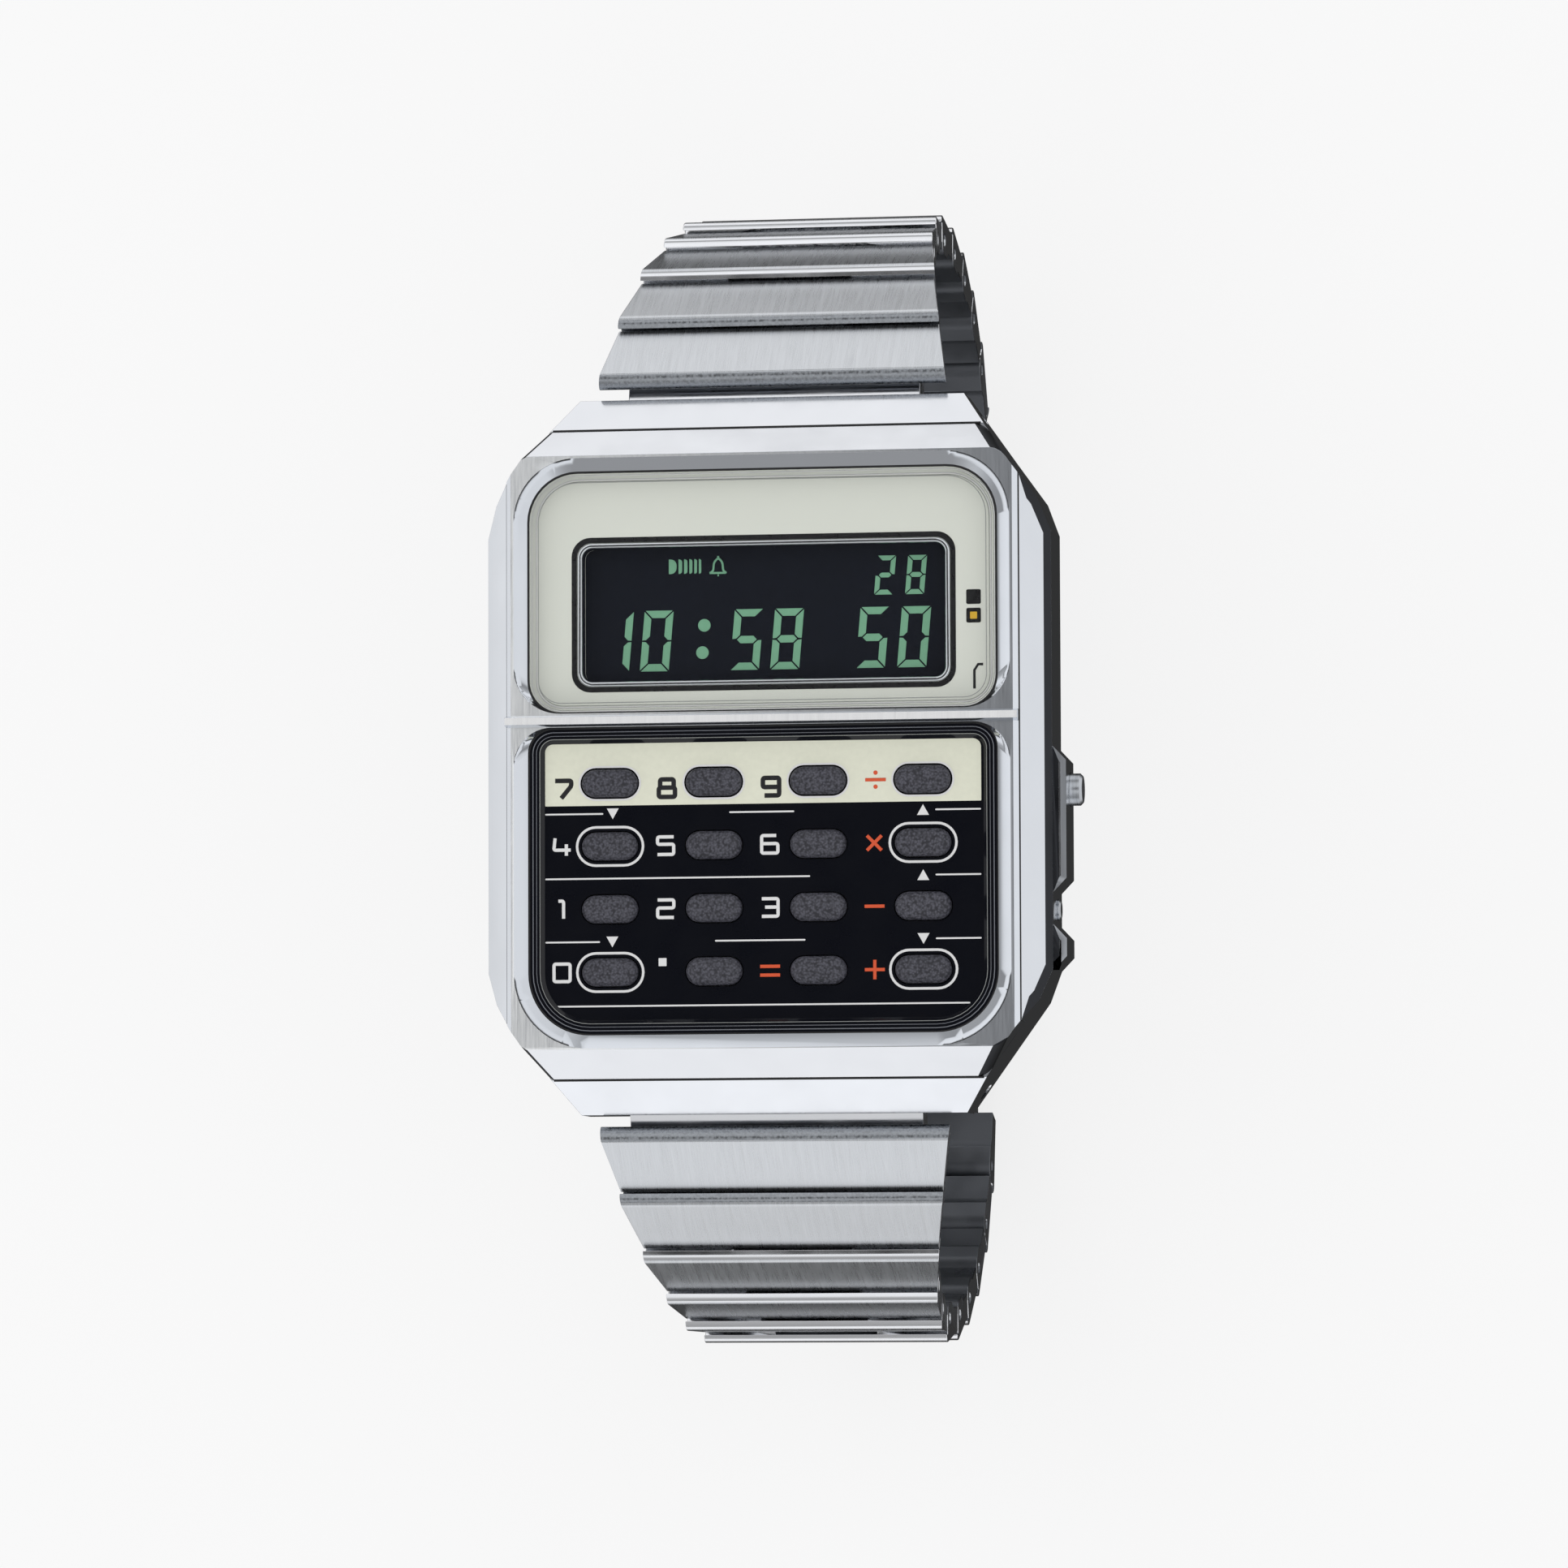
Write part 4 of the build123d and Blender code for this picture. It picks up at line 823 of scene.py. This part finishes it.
def makeDisplay():
    glass, dial, middle = topOf("lcd_panel"), topOf("dial_plate"), display["centreY"]
    bm = bmesh.new()
    addDigits(bm, bigDigit, glass)
    addDigits(bm, smallDigit, glass)
    radius = colon["radius"]
    for x, y in colon["dots"]:
        addFilm(bm, [roundedBox(x, middle + y, radius, radius, radius)], glass, "segment")
    low, high = middle + signal["middle"] - signal["half"], middle + signal["middle"] + signal["half"]
    for left, right, curve in signal["bars"]:
        radii = [signal["leftRadius"], curve, curve, signal["leftRadius"]]
        addFilm(bm, [roundedLoop(left, right, low, high, radii, 5)], glass, "segment")
    paths = [softPath(bell["outline"], bell["corner"])] + bell["knobs"]
    paths = [[(bell["x"] + x, middle + bell["y"] + y) for x, y in path] for path in paths]
    addStrokes(bm, paths, bell["stroke"], glass + bell["lift"], bell["rise"])
    addPiece("lcd_segments", bm, ["segment"], "lcd_panel")
    width, grows = display["halfWidth"], (0, display["ring"], display["ring"] + display["ink"])
    inner, ring, outer = [roundedLoop(-width - grow, width + grow, display["bottom"] - grow,
                                      display["top"] + grow, [radius] * 4)
                          for grow, radius in zip(grows, display["radii"])]
    bm = bmesh.new()
    addFilm(bm, [outer, ring], dial)
    addPiece("display_printed_frame", bm, ["inkBlack"], "dial_plate")
    bm = bmesh.new()
    addSheet(bm, [ring, inner], glass + display["ringLow"], dial + display["ringHigh"])
    easeEdges(bm, ringEase)
    addPiece("display_trim_ring", bm, ["trim"], "dial_plate", smooth=40)


# Inset, width and finish of every fine line along an opening
openingRings = {"display": {"node": "display_window", "radii": (2.0, 3.0), "rise": 0.03,
                            "lines": [(0.0, 0.15, "seam"), (0.62, 0.05, "ringShade")]},
                "keypad": {"node": "keypad_panel", "radii": (3.7, 1.5), "rise": 0.03,
                           "lines": [(0.0, 0.14, "seam"), (0.24, 0.07, "ringPaintedHighlight"), (0.46, 0.05, "ringPaintedHighlight"),
                                     (0.66, 0.05, "ringShade")]}}
# a painted highlight and a painted shade line on the dial stand in for the glass's edge
glassEdges = {"node": "dial_plate", "radii": (2.0, 3.0), "rise": 0.02,
              "lines": [("glass_edge_painted_highlight", 0.40, 0.09, "inkWhite"),
                        ("glass_edge_shade", 0.50, 0.04, "ringShade")]}


def openingLoop(node, radii, inset):
    low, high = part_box(node)
    bottom, top = [max(radius - inset, 0.1) for radius in radii]
    return roundedLoop(low.x / mm + inset, high.x / mm - inset, low.y / mm + inset, high.y / mm - inset,
                       [bottom, bottom, top, top], 10)


def addRing(name, ring, inset, width, ink):
    node = ring["node"]
    bm = bmesh.new()
    addStrokes(bm, [openingLoop(node, ring["radii"], inset)], width, topOf(node), ring["rise"], closed=True)
    addPiece(name, bm, [ink], node)


def makeOpeningRings():
    # the dark joint round the glass, painted highlight and shade lines for the fine steps on the keypad's
    # border, and a painted highlight and shade line for the glass's edge on the dial
    for label, ring in openingRings.items():
        for index, (inset, width, ink) in enumerate(ring["lines"]):
            addRing(f"{label}_ring_{index + 1}", ring, inset, width, ink)
    for name, inset, width, ink in glassEdges["lines"]:
        addRing(name, glassEdges, inset, width, ink)


sideMarks = {"x": 12.69, "upperY": 8.99, "lowerY": 7.88, "half": 0.44, "corner": 0.1, "innerHalf": 0.21,
             "innerCorner": 0.03, "stroke": 0.16, "lift": 0.006, "rise": 0.008,
             "pointer": [(13.25, 4.95), (12.95, 4.95), (12.72, 4.6), (12.72, 3.5)]}


def makeSideMarks():
    # colour keys beside the display for the two pushers
    dial = topOf("dial_plate")
    x, half, inner = sideMarks["x"], sideMarks["half"], sideMarks["innerHalf"]
    black = bmesh.new()
    for y in (sideMarks["upperY"], sideMarks["lowerY"]):
        addFilm(black, [roundedBox(x, y, half, half, sideMarks["corner"], 3)], dial)
    addStrokes(black, [sideMarks["pointer"]], sideMarks["stroke"], dial + sideMarks["lift"], sideMarks["rise"])
    addPiece("dial_marks", black, ["inkBlack"], "dial_plate")
    yellow = bmesh.new()
    square = roundedBox(x, sideMarks["lowerY"], inner, inner, sideMarks["innerCorner"], 2)
    addFilm(yellow, [square], dial, "colourKey")
    addPiece("dial_colour_key", yellow, ["inkYellow"], "dial_plate")


# Keypad prints

# The digits beside the keys; the first row stands on the cream band
legend = {"height": 1.05, "width": 0.98, "corner": 0.13, "rise": 0.01, "signStroke": 0.21, "onBand": 0.016,
          "firstRow": {"x": -2.84, "y": -0.33, "stroke": 0.28, "ink": "black", "lift": 0.016},
          "otherRows": {"x": -2.93, "y": 0, "stroke": 0.21, "ink": "white", "lift": 0.004}}
digitPaths = {
    "seven": [[(-0.5, 0.5), (0.5, 0.5), (0.5, 0.2), (-0.12, -0.5)]],
    "eight": [[(-0.42, 0.02), (-0.42, 0.5), (0.42, 0.5), (0.42, 0.02)],
              [(0, 0.03), (-0.5, 0.03), (-0.5, -0.5), (0.5, -0.5), (0.5, 0.03), (0, 0.03)]],
    "nine": [[(-0.4, -0.5), (0.5, -0.5), (0.5, 0.5), (-0.5, 0.5), (-0.5, -0.02), (0.5, -0.02)]],
    "four": [[(-0.42, 0.5), (-0.5, -0.18), (0.55, -0.18)], [(0.28, 0.15), (0.28, -0.5)]],
    "five": [[(0.5, 0.5), (-0.5, 0.5), (-0.5, 0.08), (0.5, 0.08), (0.5, -0.5), (-0.5, -0.5)]],
    "six": [[(0.4, 0.5), (-0.5, 0.5), (-0.5, -0.5), (0.5, -0.5), (0.5, 0.04), (-0.5, 0.04)]],
    "one": [[(-0.22, 0.5), (0.1, 0.5), (0.1, -0.5)]],
    "two": [[(-0.5, 0.5), (0.5, 0.5), (0.5, 0.04), (-0.5, 0.04), (-0.5, -0.5), (0.5, -0.5)]],
    "three": [[(-0.5, 0.5), (0.5, 0.5), (0.5, -0.5), (-0.5, -0.5)], [(-0.3, 0.02), (0.5, 0.02)]],
    "zero": [[(0, 0.5), (-0.5, 0.5), (-0.5, -0.5), (0.5, -0.5), (0.5, 0.5), (0, 0.5)]],
}
operatorPaths = {
    "divide": [[(-0.62, 0), (0.62, 0)]],
    "multiply": [[(-0.44, -0.44), (0.44, 0.44)], [(-0.44, 0.44), (0.44, -0.44)]],
    "minus": [[(-0.6, 0), (0.6, 0)]],
    "equals": [[(-0.6, 0.26), (0.6, 0.26)], [(-0.6, -0.26), (0.6, -0.26)]],
    "plus": [[(-0.6, 0), (0.6, 0)], [(0, -0.58), (0, 0.58)]],
}
signDots = {"rise": 0.42, "half": 0.13, "radius": 0.129}
pointMark = {"x": -0.2, "y": 0.58, "half": 0.24, "radius": 0.02}
# Outer and inner growth of the rings round some keys' caps
keyRings = {"names": ("four", "multiply", "zero", "plus"), "line": (0.38, 0.23), "collar": (0.2, 0.09),
            "hole": 0.1, "round": 0.999}
# The panel's face lies lower than its top by the sink
panelPrint = {"sink": 0.3, "band": (-13.22, 13.12, -3.19, 0.53), "bandRadii": (0.05, 0.05, 0.5, 0.5),
              "halfLine": 0.05, "lineRound": 0.045,
              "lines": {-3.68: [(-13.22, -9.69), (-2.05, 1.87), (10.36, 13.1)],
                        -7.56: [(-13.22, 2.82), (10.36, 13.1)],
                        -11.35: [(-13.22, -9.9), (-2.93, 2.52), (10.36, 13.1)],
                        -15.19: [(-12.83, 12.4)]},
              "triangle": (0.36, 0.32),
              "triangles": [(-9.11, -3.68, -1), (9.62, -3.68, 1), (9.62, -7.56, 1), (-9.15, -11.35, -1),
                            (9.62, -11.35, -1)]}


def keyCentre(name):
    low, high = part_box("key_" + name)
    return (low.x + high.x) / 2 / mm, (low.y + high.y) / 2 / mm


def keyLoop(name, grow):
    # round the cap itself, without its hidden flange
    low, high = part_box("key_" + name)
    x, y = keyCentre(name)
    halfLong = (high.x - low.x) / 2 / mm - keyShape["flange"] + grow
    radius = (high.y - low.y) / 2 / mm - keyShape["flange"] + grow
    return roundedBox(x, y, halfLong, radius, radius * keyRings["round"])


def addLegend(inks, name, row, panelTop):
    style = legend["firstRow" if row == 0 else "otherRows"]
    x, y = keyCentre(name)
    x += style["x"]
    if name in digitPaths:
        y += style["y"]
        paths = [softPath([(a * legend["width"], b * legend["height"]) for a, b in path], legend["corner"])
                 for path in digitPaths[name]]
        paths = [[(x + a, y + b) for a, b in path] for path in paths]
        addStrokes(inks[style["ink"]], paths, style["stroke"], panelTop + style["lift"], legend["rise"])
    elif name in operatorPaths:
        paths = [[(x + a, y + b) for a, b in path] for path in operatorPaths[name]]
        addStrokes(inks["orange"], paths, legend["signStroke"], panelTop + legend["onBand"], legend["rise"])
    if name == "divide":
        for rise in (-signDots["rise"], signDots["rise"]):
            dot = roundedBox(x, y + rise, signDots["half"], signDots["half"], signDots["radius"])
            addFilm(inks["orange"], [dot], panelTop, "overprint")
    if name == "point":
        half = pointMark["half"]
        square = roundedBox(x + pointMark["x"], y + pointMark["y"], half, half, pointMark["radius"], 2)
        addFilm(inks["white"], [square], panelTop)


def makeKeypadPrint():
    panel = "keypad_panel"
    panelTop = topOf(panel) - panelPrint["sink"]
    cream = bmesh.new()
    holes = [keyLoop(name, keyRings["hole"]) for name in keyNames[0]]
    addFilm(cream, [roundedLoop(*panelPrint["band"], panelPrint["bandRadii"])] + holes, panelTop)
    addPiece("keypad_cream_band", cream, ["inkCream"], panel)
    collars = bmesh.new()
    for name in keyNames[0]:
        addFilm(collars, [keyLoop(name, grow) for grow in keyRings["collar"]], panelTop, "collar")
    addPiece("first_row_collars", collars, ["inkWhite"], panel)
    inks = {label: bmesh.new() for label in ("white", "black", "orange")}
    for row, names in enumerate(keyNames):
        for name in names:
            addLegend(inks, name, row, panelTop)
    white = inks["white"]
    for name in keyRings["names"]:
        addFilm(white, [keyLoop(name, grow) for grow in keyRings["line"]], panelTop)
    half, radii = panelPrint["halfLine"], [panelPrint["lineRound"]] * 4
    for y, runs in panelPrint["lines"].items():
        for left, right in runs:
            addFilm(white, [roundedLoop(left, right, y - half, y + half, radii, 2)], panelTop)
    wide, tall = panelPrint["triangle"]
    for x, y, way in panelPrint["triangles"]:
        corners = [(x - wide, y - way * tall), (x + wide, y - way * tall), (x, y + way * tall)]
        addFilm(white, [corners], panelTop)
    addPiece("keypad_white_print", white, ["inkWhite"], panel)
    addPiece("keypad_black_digits", inks["black"], ["inkBlack"], panel)
    addPiece("keypad_operators", inks["orange"], ["inkOrange"], panel)


# Plain steel and inner pieces keep their CAD mesh and get a finish

def paintCadPieces():
    finishes = {"display_window": "glass", "dial_plate": "dial", "lcd_panel": "lcd", "keypad_panel": "panel",
                "key_mat": "mat", "circuit_board": "board", "module_frame": "frame", "battery": "satin",
                "battery_clip": "brass", "buzzer": "brass", "case_back": "satin", "case_gasket": "mat",
                "case_screws": "trim", "spring_bars": "trim", "mode_pusher": "pusher",
                "adjust_pusher": "pusher"}
    for node, label in finishes.items():
        data = nodes[node].data
        data.materials.clear()
        data.materials.append(finish[label])


# Studio

studio = {"floorColour": (0.94, 0.94, 0.94), "floorSize": 3.0, "paper": (0.97, 0.97, 0.97), "paperShare": 0.78,
          # the painted cloth reflection's brightness from its middle outwards, and where it changes
          "paintedClothReflection": (0.035, 0.22, 0.92), "paintedClothReach": (0.055, 0.125), "paintedClothNarrow": 1.4,
          "sky": [(0.0, 1.0), (0.22, 0.98), (0.36, 0.45), (0.52, 0.30), (0.66, 0.85), (0.90, 0.92),
                  (1.0, 0.92)],
          "skyTint": (0.985, 0.992, 1.0), "softLight": (0.93, 0.93, 0.935),
          # patches in the sky: direction, outer and inner half angle, brightness
          "patches": [((-0.156, 0.067, 0.985), 13.0, 7.0, 0.035), ((-0.156, -0.749, 0.643), 27.0, 4.0, 0.36)],
          "lampPower": 0.06, "lampSize": 0.5, "lampPlace": (-0.28, 0.22, 0.42)}


def makeFloor():
    # paper sweep; only reflections near the watch see a dark cloth under it, a painted dark reflection
    bm = bmesh.new()
    bmesh.ops.create_grid(bm, x_segments=1, y_segments=1, size=studio["floorSize"] / 2)
    mesh = bpy.data.meshes.new("studioFloor")
    bm.to_mesh(mesh)
    bm.free()
    floor = bpy.data.objects.new("studioFloor", mesh)
    floor.location.z = cadBounds[0].z
    bpy.context.collection.objects.link(floor)
    material, tree, shader, place = startMaterial("studioPaper", Roughness=0.9, Specular_IOR_Level=0.0,
                                                  Base_Color=(*studio["floorColour"], 1))
    oval = vectorNode(tree, "MULTIPLY", place, (studio["paintedClothNarrow"], 1, 1))
    reach = rangeNode(tree, vectorNode(tree, "LENGTH", oval), *studio["paintedClothReach"])
    ramp = tree.nodes.new("ShaderNodeValToRGB")
    ramp.color_ramp.elements.new(0.5)
    for stop, bright in zip(ramp.color_ramp.elements, studio["paintedClothReflection"]):
        stop.color = (bright, bright, bright, 1)
    tree.links.new(reach, ramp.inputs["Fac"])
    paintedClothReflection = tree.nodes.new("ShaderNodeEmission")
    tree.links.new(ramp.outputs["Color"], paintedClothReflection.inputs["Color"])
    white = tree.nodes.new("ShaderNodeEmission")
    white.inputs["Color"].default_value = (*studio["paper"], 1)
    path = tree.nodes.new("ShaderNodeLightPath")
    # the camera sees white paper with part of the shadow
    seen = mathNode(tree, "MAXIMUM", path.outputs["Is Camera Ray"], path.outputs["Is Transmission Ray"])
    paper = mixShaders(tree, mathNode(tree, "MULTIPLY", seen, studio["paperShare"]), shader.outputs[0],
                       white.outputs[0])
    # glossy rays see the dark cloth, a painted reflection
    tree.links.new(mixShaders(tree, path.outputs["Is Glossy Ray"], paper, paintedClothReflection.outputs[0]),
                   tree.nodes["Material Output"].inputs["Surface"])
    mesh.materials.append(material)


def makeSky():
    # bright horizon, a grey band and broad overhead light
    world = bpy.data.worlds.new("studio")
    bpy.context.scene.world = world
    world.use_nodes = True
    tree = world.node_tree
    where = tree.nodes.new("ShaderNodeTexCoord").outputs["Generated"]
    ramp = tree.nodes.new("ShaderNodeValToRGB")
    ramp.color_ramp.interpolation = "EASE"
    tree.links.new(splitPlace(tree, where)["Z"], ramp.inputs["Fac"])
    stops = ramp.color_ramp.elements
    for index, (height, bright) in enumerate(studio["sky"]):
        stop = stops[index] if index < 2 else stops.new(height)
        stop.position = height
        stop.color = (*scaled(studio["skyTint"], bright), 1)
    # the camera stands in a dark patch, and a grey one shades the rims' slopes
    overhead = ramp.outputs["Color"]
    for direction, outer, inner, bright in studio["patches"]:
        patch = rangeNode(tree, vectorNode(tree, "DOT_PRODUCT", where, direction),
                          math.cos(math.radians(outer)), math.cos(math.radians(inner)))
        overhead = blendColours(tree, patch, overhead, (bright,) * 3)
    path = tree.nodes.new("ShaderNodeLightPath")
    shown = blendColours(tree, path.outputs["Is Glossy Ray"], studio["softLight"], overhead)
    tree.links.new(shown, tree.nodes["Background"].inputs["Color"])


def makeLamp():
    lamp = bpy.data.lights.new("softKey", "AREA")
    lamp.shape = "DISK"
    lamp.size = studio["lampSize"]
    lamp.energy = studio["lampPower"]
    key = bpy.data.objects.new("softKey", lamp)
    key.location = studio["lampPlace"]
    key.rotation_euler = (-Vector(key.location)).to_track_quat("-Z", "Y").to_euler()
    bpy.context.collection.objects.link(key)


# Camera at the photograph's angle and distance

view = {"turn": 9.0, "tilt": 3.93, "roll": -0.2, "distance": 477.0, "lens": 183.9, "sensor": 36,
        "faceHeight": 8.2, "shiftRight": 1.38, "shiftUp": -2.08, "nearest": 0.01, "farthest": 20}


def makeCamera():
    turn = math.radians(view["turn"])
    tilt = math.radians(view["tilt"])
    back = Vector((math.sin(turn) * math.cos(tilt), -math.sin(tilt), math.cos(turn) * math.cos(tilt)))
    right = Vector((math.cos(turn), 0, -math.sin(turn)))
    up = back.cross(right)
    target = Vector((0, 0, view["faceHeight"])) + right * view["shiftRight"] + up * view["shiftUp"]
    data = bpy.data.cameras.new("productView")
    data.lens = view["lens"]
    data.sensor_width = view["sensor"]
    data.clip_start = view["nearest"]
    data.clip_end = view["farthest"]
    camera = bpy.data.objects.new("productView", data)
    axes = Matrix((right, up, back)).transposed()
    camera.matrix_world = (Matrix.Translation((target + back * view["distance"]) * mm) @ axes.to_4x4()
                           @ Matrix.Rotation(math.radians(view["roll"]), 4, "Z"))
    bpy.context.collection.objects.link(camera)
    bpy.context.scene.camera = camera


makeCase()
makeSeams()
print("case and bezel dressed")
makeBracelet()
print("bracelet dressed")
makeKeys()
makeDisplay()
makeOpeningRings()
makeSideMarks()
makeKeypadPrint()
print("keys, display and prints made")
paintCadPieces()
makeFloor()
makeSky()
makeLamp()
makeCamera()
bpy.context.scene.view_settings.view_transform = "Standard"
